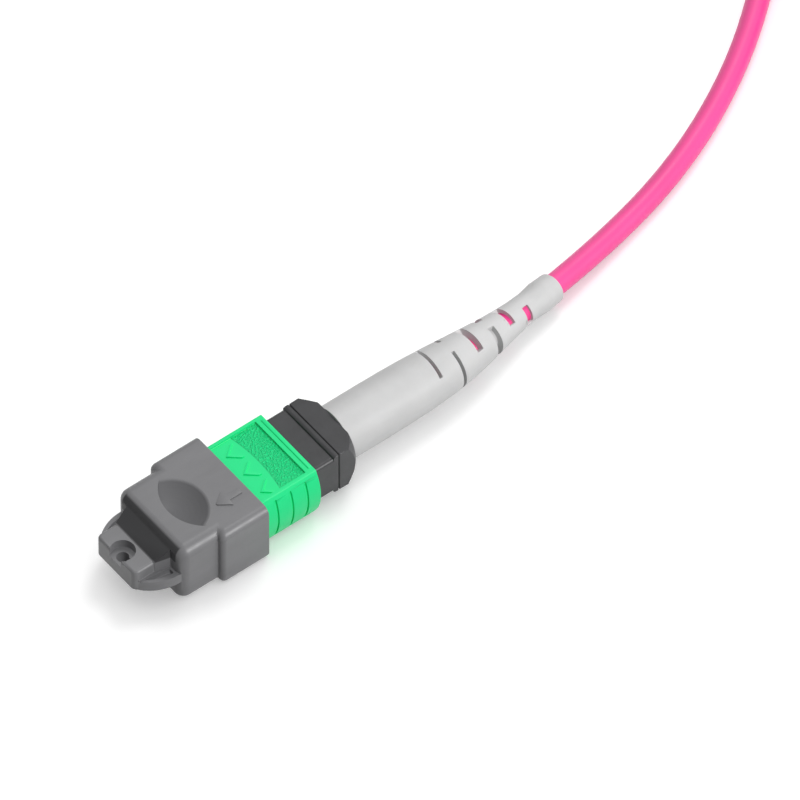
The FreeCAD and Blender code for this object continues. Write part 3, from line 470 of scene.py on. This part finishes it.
def housing_black(colour):
    """Satin black moulded plastic with a fine grain and a faint bloom."""
    finish = Finish("housing black", colour, 0.34, Specular_IOR_Level=0.42)
    bloom = finish.noise(420.0, 3.0, 0.6)
    finish.tint(finish.spread(bloom, 0.35, 0.75), colour, scaled(colour, 1.4))
    finish.rough(finish.noise(1100.0, 2.0), 0.28, 0.46)
    finish.bump(finish.noise(11000.0, 1.5), 0.012 * MM, 0.4)
    return finish.material


def boot_grey(colour):
    """Pale grey soft moulding: satin, slightly translucent, with soft mottling."""
    finish = Finish("boot grey", colour, 0.5, Specular_IOR_Level=0.4)
    finish.shader.inputs["Subsurface Weight"].default_value = 0.12
    finish.shader.inputs["Subsurface Radius"].default_value = (0.9 * MM, 0.8 * MM, 0.7 * MM)
    mottle = finish.noise(180.0, 4.0, 0.6)
    finish.tint(finish.spread(mottle, 0.3, 0.75), scaled(colour, 0.94), scaled(colour, 1.05))
    finish.rough(finish.noise(800.0, 2.0), 0.44, 0.58)
    finish.bump(finish.noise(7000.0, 2.0), 0.02 * MM, 0.3)
    return finish.material


def cord_magenta(colour):
    """Magenta low-smoke jacket: satin, drawn lengthwise, with the faint unevenness of extrusion."""
    finish = Finish("cord magenta", colour, 0.36, Specular_IOR_Level=0.5)
    drawn = finish.noise(140.0, 3.0, 0.6)
    finish.tint(finish.spread(drawn, 0.3, 0.7), scaled(colour, 0.95), scaled(colour, 1.04))
    finish.rough(finish.noise(500.0, 2.0), 0.32, 0.44)
    finish.bump(finish.noise(3500.0, 2.0), 0.02 * MM, 0.25)
    return finish.material


def ferrule_dark(colour):
    """Filled dark polymer with the speckle of its glass filler, lapped at the face."""
    finish = Finish("ferrule dark", colour, 0.4)
    speck = finish.noise(16000.0, 2.0, 0.7)
    finish.tint(finish.spread(speck, 0.55, 0.8), colour, scaled(colour, 2.6))
    finish.rough(finish.noise(4000.0, 2.0), 0.32, 0.52)
    finish.bump(speck, 0.01 * MM, 0.3)
    return finish.material


def drawn_steel(colour):
    """Bright drawn steel with fine lines along its length."""
    finish = Finish("drawn steel", colour, 0.24, Metallic=1.0)
    lines = finish.noise(5200.0, 3.0, 0.6, stretch=(0.06, 1.0, 1.0))
    finish.tint(finish.spread(lines, 0.3, 0.7), scaled(colour, 0.85), scaled(colour, 1.08))
    finish.rough(lines, 0.18, 0.36)
    finish.bump(lines, 0.006 * MM, 0.4)
    return finish.material


def soft_rubber(colour):
    """Matt soft rubber with a dusty grain."""
    finish = Finish("soft rubber", colour, 0.75, Specular_IOR_Level=0.3)
    dust = finish.noise(3000.0, 3.0, 0.7)
    finish.tint(finish.spread(dust, 0.45, 0.75), colour, scaled(colour, 1.5))
    finish.bump(dust, 0.01 * MM, 0.5)
    return finish.material


def yarn_gold(colour):
    """Loose yellow aramid yarn: fine filaments laid lengthwise."""
    finish = Finish("yarn gold", colour, 0.55, Sheen_Weight=0.3)
    strands = finish.noise(7000.0, 3.0, 0.7, stretch=(0.05, 1.0, 1.0))
    finish.tint(finish.spread(strands, 0.3, 0.7), scaled(colour, 0.65), scaled(colour, 1.15))
    finish.bump(strands, 0.04 * MM, 0.9)
    return finish.material


def ribbon_coat(colour):
    """Clear-coated fibre ribbon, faintly uneven across its fibres."""
    finish = Finish("ribbon coat", colour, 0.3, Coat_Weight=0.4, Coat_Roughness=0.15)
    streak = finish.noise(1500.0, 2.0, 0.6)
    finish.tint(finish.spread(streak, 0.3, 0.7), scaled(colour, 0.9), scaled(colour, 1.08))
    finish.rough(streak, 0.24, 0.38)
    return finish.material


def glass_pale(colour):
    """Polished glass fibre ends, each a little brighter or duller than the next."""
    finish = Finish("glass pale", colour, 0.12, Coat_Weight=0.3)
    each = finish.noise(4000.0, 1.0)
    finish.tint(finish.spread(each, 0.3, 0.7), scaled(colour, 0.85), scaled(colour, 1.1))
    finish.rough(each, 0.08, 0.16)
    return finish.material


def shrink_black(colour):
    """Shrunk sleeving: dark, satin, with the slight ripples that heat leaves."""
    finish = Finish("shrink black", colour, 0.42)
    ripple = finish.noise(520.0, 3.0, 0.6)
    finish.tint(finish.spread(ripple, 0.4, 0.8), colour, scaled(colour, 1.8))
    finish.rough(ripple, 0.34, 0.54)
    finish.bump(ripple, 0.12 * MM, 0.5)
    return finish.material


# ---------------------------------------------------------------- what a user would change
def colour_property(name, description, *seen):
    return bpy.props.FloatVectorProperty(
        name=name, description=description, subtype="COLOR", size=3, min=0.0, max=1.0,
        default=srgb(*seen))


class PlugColours(bpy.types.PropertyGroup):
    """Colours of the plug's finishes."""

    cap: colour_property("Dust cap", "Grey of the moulded dust cap", 112, 112, 114)
    sleeve: colour_property("Coupling sleeve", "Green of the pull-back sleeve", 14, 224, 136)
    housing: colour_property("Housing", "Black of the inner and rear housing", 46, 46, 48)
    boot: colour_property("Boot", "Pale grey of the bending boot", 201, 201, 201)
    cord: colour_property("Cord", "Magenta of the cord's jacket", 245, 74, 152)
    ferrule: colour_property("Ferrule", "Dark polymer of the ferrule", 44, 46, 50)
    steel: colour_property("Steel", "Pins, keeper and springs", 190, 192, 196)
    grommet: colour_property("Grommet", "Rubber in the ferrule's back", 62, 62, 64)
    yarn: colour_property("Yarn", "Aramid yarn under the crimp ring", 228, 196, 82)
    ribbon: colour_property("Ribbon", "Coating of the fibre ribbon", 128, 190, 214)
    glass: colour_property("Fibre ends", "Polished glass of the fibre ends", 206, 222, 232)
    shrink: colour_property("Shrunk sleeve", "Sleeving at the cord's far end", 30, 30, 32)


class PlugSizes(bpy.types.PropertyGroup):
    """Sizes of the details that the dressing adds."""

    cord_radius: bpy.props.FloatProperty(
        name="Cord radius", description="Radius of the round cord",
        default=1.5 * MM, min=0.5 * MM, max=4 * MM, subtype="DISTANCE", unit="LENGTH")
    mark_height: bpy.props.FloatProperty(
        name="Mark height", description="How far the cap's moulded arrow stands proud",
        default=0.2 * MM, min=0.02 * MM, max=0.5 * MM, subtype="DISTANCE", unit="LENGTH")
    chevron_height: bpy.props.FloatProperty(
        name="Chevron height", description="How far the sleeve's moulded chevrons stand proud",
        default=0.17 * MM, min=0.02 * MM, max=0.28 * MM, subtype="DISTANCE", unit="LENGTH")
    edge: bpy.props.FloatProperty(
        name="Edge", description="How far the sharp edges of the mouldings are rounded",
        default=0.14 * MM, min=0.02 * MM, max=0.3 * MM, subtype="DISTANCE", unit="LENGTH")
    grain_from: bpy.props.FloatProperty(
        name="Grain from", description="Station where the sleeve's grained zone begins",
        default=4.1 * MM, min=0.0, max=7 * MM, subtype="DISTANCE", unit="LENGTH")


class PlugStage(bpy.types.PropertyGroup):
    """Camera and lights."""

    azimuth: bpy.props.FloatProperty(
        name="Azimuth", description="Where the camera stands round the plug",
        default=math.radians(-37.8), subtype="ANGLE", unit="ROTATION")
    elevation: bpy.props.FloatProperty(
        name="Elevation", description="How far the camera looks down",
        default=math.radians(51.5), subtype="ANGLE", unit="ROTATION")
    view_width: bpy.props.FloatProperty(
        name="View width", description="Width of the view at the plug",
        default=96.77 * MM, min=20 * MM, max=1.0, subtype="DISTANCE", unit="LENGTH")
    lens: bpy.props.FloatProperty(
        name="Lens", description="Focal length of the camera, in millimetres",
        default=1400.0, min=20.0, max=1600.0)
    top: bpy.props.FloatProperty(
        name="Top lamp", description="Power of the lamp over the cord", default=1.5, min=0.0,
        subtype="POWER", unit="POWER")
    side: bpy.props.FloatProperty(
        name="Side lamp", description="Power of the large lamp on the camera's right", default=6.0,
        min=0.0, subtype="POWER", unit="POWER")
    sky: bpy.props.FloatProperty(
        name="Sky light", description="Strength of the soft sky where it is brightest",
        default=0.95, min=0.0, max=3.0)
    fill: bpy.props.FloatProperty(
        name="Fill light", description="Strength of the soft sky on the side away from its light",
        default=0.12, min=0.0, max=2.0)
    paper: bpy.props.FloatProperty(
        name="Paper", description="How pale the floor looks to the camera; 1 is white in full light",
        default=1.1, min=0.2, max=1.5)
    bounce: bpy.props.FloatProperty(
        name="Bounce", description="How much light the floor throws back up at the plug",
        default=0.4, min=0.0, max=1.0)


def colours():
    return bpy.context.scene.plug_colours


def sizes():
    return bpy.context.scene.plug_sizes


def stage():
    return bpy.context.scene.plug_stage


# Which finish each solid of the frame gets.
NODE_FINISH = {
    "dust_cap": "cap", "coupling_sleeve": "sleeve", "plug_housing": "housing",
    "rear_housing": "housing", "mt_ferrule": "ferrule", "guide_pin_left": "steel",
    "guide_pin_right": "steel", "pin_keeper": "steel", "ferrule_grommet": "grommet",
    "ferrule_spring": "steel", "return_spring_left": "steel", "return_spring_right": "steel",
    "fibre_ribbon": "ribbon", "aramid_yarn": "yarn", "crimp_ring": "steel",
    "strain_relief_boot": "boot", "cord_jacket": "cord", "cord_coil": "cord",
    "stub_sleeve": "shrink", "stub_ribbon": "ribbon",
}
# What makes each finish, by the name of its colour.
MAKERS = {
    "cap": cap_grey, "sleeve": sleeve_green, "housing": housing_black, "boot": boot_grey,
    "cord": cord_magenta, "ferrule": ferrule_dark, "steel": drawn_steel, "grommet": soft_rubber,
    "yarn": yarn_gold, "ribbon": ribbon_coat, "glass": glass_pale, "shrink": shrink_black,
}
FINISHES = {}


def finish_for(name):
    """The finish of that name, made the first time it is asked for."""
    if name not in FINISHES:
        FINISHES[name] = MAKERS[name](tuple(getattr(colours(), name)))
    return FINISHES[name]


# ---------------------------------------------------------------- operators
class PLUG_OT_stage(bpy.types.Operator):
    """Set the camera, the pale floor and the soft lights"""

    bl_idname = "plug.stage"
    bl_label = "Stage"

    def execute(self, context):
        settings = stage()
        turn, rise = settings.azimuth, settings.elevation
        back = Vector((math.sin(turn) * math.cos(rise), -math.cos(turn) * math.cos(rise),
                       math.sin(rise)))
        distance = settings.view_width * settings.lens / FILM_WIDTH
        deselect()
        bpy.ops.object.camera_add(location=VIEW_CENTRE + back * distance,
                                  rotation=back.to_track_quat("Z", "Y").to_euler())
        camera = context.object
        camera.data.lens = settings.lens
        camera.data.clip_start = 0.01
        camera.data.clip_end = 40.0
        context.scene.camera = camera
        self.floor()
        self.lamps()
        self.sky()
        context.scene.view_settings.view_transform = "Standard"
        return {"FINISHED"}

    def floor(self):
        """A pale sheet: white to the camera and in reflections, duller as a source of bounce light."""
        settings = stage()
        deselect()
        bpy.ops.mesh.primitive_plane_add(size=FLOOR_SIDE, location=(0.0, 0.0, -FLOOR_DROP))
        floor = settle(bpy.context.object)
        floor.name = "floor"
        material = bpy.data.materials.new("pale floor")
        material.use_nodes = True
        nodes, links = material.node_tree.nodes, material.node_tree.links
        nodes.remove(nodes["Principled BSDF"])
        seen = self.seen_rays(nodes, links)
        tone = nodes.new("ShaderNodeMix")
        tone.data_type = "RGBA"
        for socket, level in (("A", settings.bounce), ("B", settings.paper)):
            tone.inputs[socket].default_value = (level, level, level, 1.0)
        links.new(seen, tone.inputs["Factor"])
        matt = nodes.new("ShaderNodeBsdfDiffuse")
        links.new(tone.outputs["Result"], matt.inputs["Color"])
        links.new(matt.outputs["BSDF"], nodes["Material Output"].inputs["Surface"])
        floor.data.materials.append(material)

    def seen_rays(self, nodes, links):
        """1 for what the camera sees, straight or mirrored, 0 for light that only falls on things."""
        ray = nodes.new("ShaderNodeLightPath")
        seen = ray.outputs["Is Camera Ray"]
        for other in ("Is Glossy Ray", "Is Transmission Ray"):
            either = nodes.new("ShaderNodeMath")
            either.operation = "MAXIMUM"
            links.new(seen, either.inputs[0])
            links.new(ray.outputs[other], either.inputs[1])
            seen = either.outputs["Value"]
        return seen

    def lamps(self):
        """A lamp over the cord, and one at the camera's right that only fills, without a shadow."""
        settings = stage()
        # Name, place from the view's centre, width, power, and whether it throws a shadow.
        plans = (
            ("top lamp", (0.40, 0.20, 0.84), 0.34, settings.top, True),
            ("side lamp", (0.34, -0.78, 0.46), 0.4, settings.side, False),
        )
        for name, offset, width, power, shadow in plans:
            toward = Vector(offset)
            deselect()
            bpy.ops.object.light_add(type="AREA", location=VIEW_CENTRE + toward,
                                     rotation=toward.to_track_quat("Z", "Y").to_euler())
            lamp = bpy.context.object
            lamp.name = name
            lamp.data.shape = "DISK"
            lamp.data.size = width
            lamp.data.energy = power
            lamp.data.use_shadow = shadow

    def sky(self):
        """A great soft light over the cord's side, fading to a dim fill on the side away from it."""
        settings = stage()
        brightest = Vector((0.38, 0.24, 0.88)).normalized()
        world = bpy.context.scene.world or bpy.data.worlds.new("soft sky")
        bpy.context.scene.world = world
        world.use_nodes = True
        nodes, links = world.node_tree.nodes, world.node_tree.links
        plain = nodes["Background"]
        plain.inputs["Color"].default_value = (1.0, 1.0, 1.0, 1.0)
        way = nodes.new("ShaderNodeTexCoord").outputs["Generated"]
        toward = nodes.new("ShaderNodeVectorMath")
        toward.operation = "DOT_PRODUCT"
        toward.inputs[1].default_value = brightest
        links.new(way, toward.inputs[0])
        fade = nodes.new("ShaderNodeMapRange")
        fade.inputs["To Min"].default_value = settings.fill
        fade.inputs["To Max"].default_value = settings.sky
        links.new(toward.outputs["Value"], fade.inputs["Value"])
        white = nodes.new("ShaderNodeMix")
        white.inputs["B"].default_value = 1.0
        links.new(self.seen_rays(nodes, links), white.inputs["Factor"])
        links.new(fade.outputs["Result"], white.inputs["A"])
        links.new(white.outputs["Result"], plain.inputs["Strength"])


class PLUG_OT_cord(bpy.types.Operator):
    """Lay the cord from the boot over the floor into its coil, up to the prepared end"""

    bl_idname = "plug.cord"
    bl_label = "Cord"

    def execute(self, context):
        radius = sizes().cord_radius
        points = [station(*point) for point in CORD_ROUTE]
        points += self.coil_points()
        curve = bpy.data.curves.new("cord_line", "CURVE")
        curve.dimensions = "3D"
        curve.bevel_depth = radius
        curve.bevel_resolution = 5
        curve.use_fill_caps = True
        curve.resolution_u = 8
        line = curve.splines.new("NURBS")
        line.points.add(len(points) - 1)
        for spot, point in zip(line.points, points):
            spot.co = (*point, 1.0)
        line.order_u = 3
        line.use_endpoint_u = True
        cord = bpy.data.objects.new("cord_line", curve)
        context.scene.collection.objects.link(cord)
        dress(cord, "cord_line", "connector", finish_for("cord"))
        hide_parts("cord_jacket", "cord_coil")
        # It comes out at the middle of the boot's end.
        return {"FINISHED"}

    def coil_points(self):
        """Eight turns in three layers; each change of ring or layer takes one short sector."""
        inner, middle, outer = COIL_RADII
        low, mid, high = COIL_LAYERS
        # How far the coil has turned where each change begins, and the radius and height after it.
        changes = (
            (320, middle, low), (680, inner, low), (1000, inner, mid), (1320, middle, mid),
            (1680, outer, mid), (2000, outer, high), (2320, middle, high), (2680, inner, high),
        )
        # Each change is eased over this many degrees, and the coil is drawn in this many steps.
        sector = 40.0
        steps = 145
        # The line runs inside its points, so they lie a little wider than the turns.
        widen = 1.0 / math.cos(math.radians(COIL_TURNING / steps / 2))
        points = []
        for step in range(steps + 1):
            turned = COIL_TURNING * step / steps
            ring, height = outer, low
            for begin, next_ring, next_height in changes:
                share = min(1.0, max(0.0, (turned - begin) / sector))
                ease = share * share * (3.0 - 2.0 * share)
                ring += (next_ring - ring) * ease
                height += (next_height - height) * ease
            around = math.radians(COIL_FROM - turned)
            reach = ring * widen
            points.append(station(COIL_CENTRE[0] + reach * math.cos(around),
                                  COIL_CENTRE[1] + reach * math.sin(around), height))
        return points


class PLUG_OT_finishes(bpy.types.Operator):
    """Give every solid of the frame its finish"""

    bl_idname = "plug.finishes"
    bl_label = "Finishes"

    def execute(self, context):
        for name, node in frame["nodes"].items():
            node.data.materials.clear()
            node.data.materials.append(finish_for(NODE_FINISH[name]))
        return {"FINISHED"}


class PLUG_OT_mouldings(bpy.types.Operator):
    """Show the cap, the sleeve, both housings and the boot with their edges softly rounded"""

    bl_idname = "plug.mouldings"
    bl_label = "Mouldings"

    def execute(self, context):
        width = sizes().edge
        # Boxes of the cap, by their low and high corners, where an edge gets a share of the width.
        finer = (
            # The tab and the straps beside it, then the hollow that takes the plug.
            (station(-18.2, -8.0, 0.0), station(-11.6, 8.0, 8.6), 0.5),
            (station(-12.0, -6.4, 0.6), station(-0.1, 6.4, 8.8), 0.4),
            # The step where the cap's skirt begins, on either side.
            (station(-8.2, -8.0, -0.1), station(-6.2, -4.9, 9.5), 0.4),
            (station(-8.2, 4.9, -0.1), station(-6.2, 8.0, 9.5), 0.4),
            # The thumb dish and the tab's lobes stay crisp.
            (station(-10.3, -4.9, 8.5), station(-4.0, 4.9, 9.5), 0.0),
            (station(-18.2, -1.3, 4.0), station(-17.2, 1.3, 7.6), 0.0),
        )
        softened("dust_cap", "cap_moulding", "cap", width * 1.75, finer=finer)
        softened("coupling_sleeve", "sleeve_moulding", "sleeve", width * 0.8, split=True)
        softened("plug_housing", "housing_moulding", "connector", width)
        softened("rear_housing", "rear_moulding", "connector", width, split=True)
        softened("strain_relief_boot", "boot_moulding", "connector", width * 0.8, sharp=50.0)
        return {"FINISHED"}


class PLUG_OT_sleeve_marks(bpy.types.Operator):
    """Raise three plain chevrons on the sleeve's polished front, pointing the way it mates"""

    bl_idname = "plug.sleeve_marks"
    bl_label = "Sleeve marks"

    def execute(self, context):
        # In metres: how thick and long each arm is, how far it leans, and how deep the mark is sunk.
        thick, arm, lean, sunk = 0.4 * MM, 1.25 * MM, 1.5 * MM, 0.03 * MM
        # In millimetres: the marks' stations, and the panel's height, a little under the lip's.
        along, sides = 3.0, (2.28, -1.12, -4.52)
        panel = SLEEVE_HIGH.z / MM - 0.3
        for number, side in enumerate(sides, 1):
            mark = sheet(thick, arm)
            # One arm leans forward; the other is drawn from its end, leaning back.
            pick_edges(mark, lambda middle: middle.y > 0.4 * arm)
            bpy.ops.transform.translate(value=(-lean, 0.0, 0.0))
            bpy.ops.mesh.extrude_edges_move(TRANSFORM_OT_translate={"value": (lean, arm, 0.0)})
            raise_all(sizes().chevron_height + sunk)
            place = station(along, side, panel) - Vector((0.0, 0.0, sunk))
            set_down(mark, place, "sleeve_chevron_%d" % number, "sleeve", 0.04 * MM)
        return {"FINISHED"}


class PLUG_OT_lip_bead(bpy.types.Operator):
    """Lay the low bead along the sleeve's rear lip, on its top and underside"""

    bl_idname = "plug.lip_bead"
    bl_label = "Lip bead"

    def execute(self, context):
        length, across, height, sunk = 0.55 * MM, 9.5 * MM, 0.16 * MM, 0.04 * MM
        middle = SLEEVE_HIGH.x - 0.42 * MM
        for name, level, rise in (("top", SLEEVE_HIGH.z, 1.0), ("under", SLEEVE_LOW.z, -1.0)):
            bead = sheet(length, across)
            # Sunk a little into the lip, then drawn up and in, so that its flanks slope.
            raise_all(rise * height)
            bpy.ops.transform.resize(value=(0.7, 0.985, 1.0))
            set_down(bead, Vector((middle, 0.0, level - rise * sunk)), "sleeve_bead_" + name,
                     "sleeve", 0.04 * MM)
        return {"FINISHED"}


class PLUG_OT_cap_mark(bpy.types.Operator):
    """Raise the plain arrow on the dust cap that shows which way it pulls off"""

    bl_idname = "plug.cap_mark"
    bl_label = "Cap mark"

    def execute(self, context):
        shaft, breadth, sunk = 1.9 * MM, 0.84 * MM, 0.04 * MM
        mark = sheet(shaft, breadth)
        # Only the foremost edge lies beyond this. It steps out wide, then closes to a blunt point.
        front = 0.01 * MM - shaft / 2
        for forward, factor in ((-0.08 * MM, 3.0), (-1.6 * MM, 0.08)):
            pick_edges(mark, lambda middle: middle.x < front)
            bpy.ops.mesh.extrude_edges_move(TRANSFORM_OT_translate={"value": (forward, 0.0, 0.0)})
            bpy.ops.transform.resize(value=(1.0, factor, 1.0))
            front += forward
        raise_all(sizes().mark_height)
        place = station(-1.9, -2.82, 9.4) - Vector((0.0, 0.0, sunk))
        set_down(mark, place, "cap_arrow", "cap", 0.05 * MM, segments=3)
        return {"FINISHED"}


class PLUG_OT_springs(bpy.types.Operator):
    """Wind the ferrule's spring and the sleeve's two return springs from round wire"""

    bl_idname = "plug.springs"
    bl_label = "Springs"

    def execute(self, context):
        # Each with its number of turns and the radius of its wire.
        self.wind("ferrule_spring", 5, 0.2 * MM)
        self.wind("return_spring_left", 6, 0.11 * MM)
        self.wind("return_spring_right", 6, 0.11 * MM)
        return {"FINISHED"}

    def wind(self, name, turns, wire):
        """One spring, wound to fill its solid's box; a spring that a joint presses gets a mesh of its
        own.
        """
        low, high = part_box(name)
        middle = (low + high) / 2
        steps = 28 * turns
        deselect()
        bpy.ops.mesh.primitive_circle_add(vertices=12, radius=wire,
                                          location=(0.0, (high.z - low.z) / 2 - wire, 0.0))
        spring = settle(bpy.context.object)
        modifier(spring, "SCREW", "turns", axis="X", angle=math.radians(360.0 * turns),
                 screw_offset=high.x - low.x - 2 * wire, steps=steps, render_steps=steps)
        bpy.ops.object.mode_set(mode="EDIT")
        bpy.ops.mesh.select_mode(type="EDGE")
        bpy.ops.mesh.select_all(action="SELECT")
        bpy.ops.mesh.fill_holes(sides=0)
        face_outward()
        spring.location = Vector((low.x + wire, middle.y, middle.z))
        settle(spring)
        smooth(spring, 50.0)
        dress(spring, name + "_wire", "connector", finish_for("steel"))
        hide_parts(name)
        for joint in frame["joints"]:
            for pressed in joint.get("deforming_nodes", ()):
                if pressed["node"] == name:
                    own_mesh(spring)


class PLUG_OT_fibre_ends(bpy.types.Operator):
    """Show the twelve polished fibre ends in a row across the ferrule's face"""

    bl_idname = "plug.fibre_ends"
    bl_label = "Fibre ends"

    def execute(self, context):
        low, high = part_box("mt_ferrule")
        count, pitch, radius, proud = 12, 0.25 * MM, 0.0625 * MM, 0.004 * MM
        deselect()
        bpy.ops.mesh.primitive_circle_add(vertices=16, radius=radius, fill_type="NGON",
                                          location=(0.0, 0.0, 0.0))
        end = take(context.object)
        bpy.ops.object.mode_set(mode="EDIT")
        # The glass stands a hair proud of the face, domed by its polish.
        bpy.ops.mesh.extrude_region_move(TRANSFORM_OT_translate={"value": (0.0, 0.0, 2 * proud)})
        bpy.ops.mesh.inset(thickness=radius * 0.4, depth=proud)
        face_outward()
        end.rotation_euler = (0.0, math.radians(-90.0), 0.0)
        end.location = Vector((low.x + 2 * proud, (1 - count) / 2 * pitch, (low.z + high.z) / 2))
        settle(end)
        modifier(end, "ARRAY", "row", count=count, use_relative_offset=False,
                 use_constant_offset=True, constant_offset_displace=(0.0, pitch, 0.0))
        smooth(end, 50.0)
        dress(end, "fibre_ends", "ferrule", finish_for("glass"))
        return {"FINISHED"}


class PLUG_PT_panel(bpy.types.Panel):
    """Sizes, colours and the steps of the dressing"""

    bl_idname = "PLUG_PT_panel"
    bl_label = "Fibre plug"
    bl_space_type = "VIEW_3D"
    bl_region_type = "UI"
    bl_category = "Fibre plug"

    def draw(self, context):
        for group in (colours(), sizes(), stage()):
            box = self.layout.box()
            for key in group.bl_rna.properties.keys():
                if key not in {"rna_type", "name"}:
                    box.prop(group, key)
        for operator in OPERATORS:
            self.layout.operator(operator.bl_idname)


OPERATORS = (PLUG_OT_stage, PLUG_OT_cord, PLUG_OT_finishes, PLUG_OT_mouldings, PLUG_OT_sleeve_marks,
             PLUG_OT_lip_bead, PLUG_OT_cap_mark, PLUG_OT_springs, PLUG_OT_fibre_ends)
CLASSES = (PlugColours, PlugSizes, PlugStage, *OPERATORS, PLUG_PT_panel)


def register():
    for item in CLASSES:
        bpy.utils.register_class(item)
    bpy.types.Scene.plug_colours = bpy.props.PointerProperty(type=PlugColours)
    bpy.types.Scene.plug_sizes = bpy.props.PointerProperty(type=PlugSizes)
    bpy.types.Scene.plug_stage = bpy.props.PointerProperty(type=PlugStage)


def unregister():
    for name in ("plug_stage", "plug_sizes", "plug_colours"):
        delattr(bpy.types.Scene, name)
    for item in reversed(CLASSES):
        bpy.utils.unregister_class(item)


def main():
    register()
    for operator in OPERATORS:
        family, step = operator.bl_idname.split(".")
        getattr(getattr(bpy.ops, family), step)()


if __name__ == "__main__":
    main()
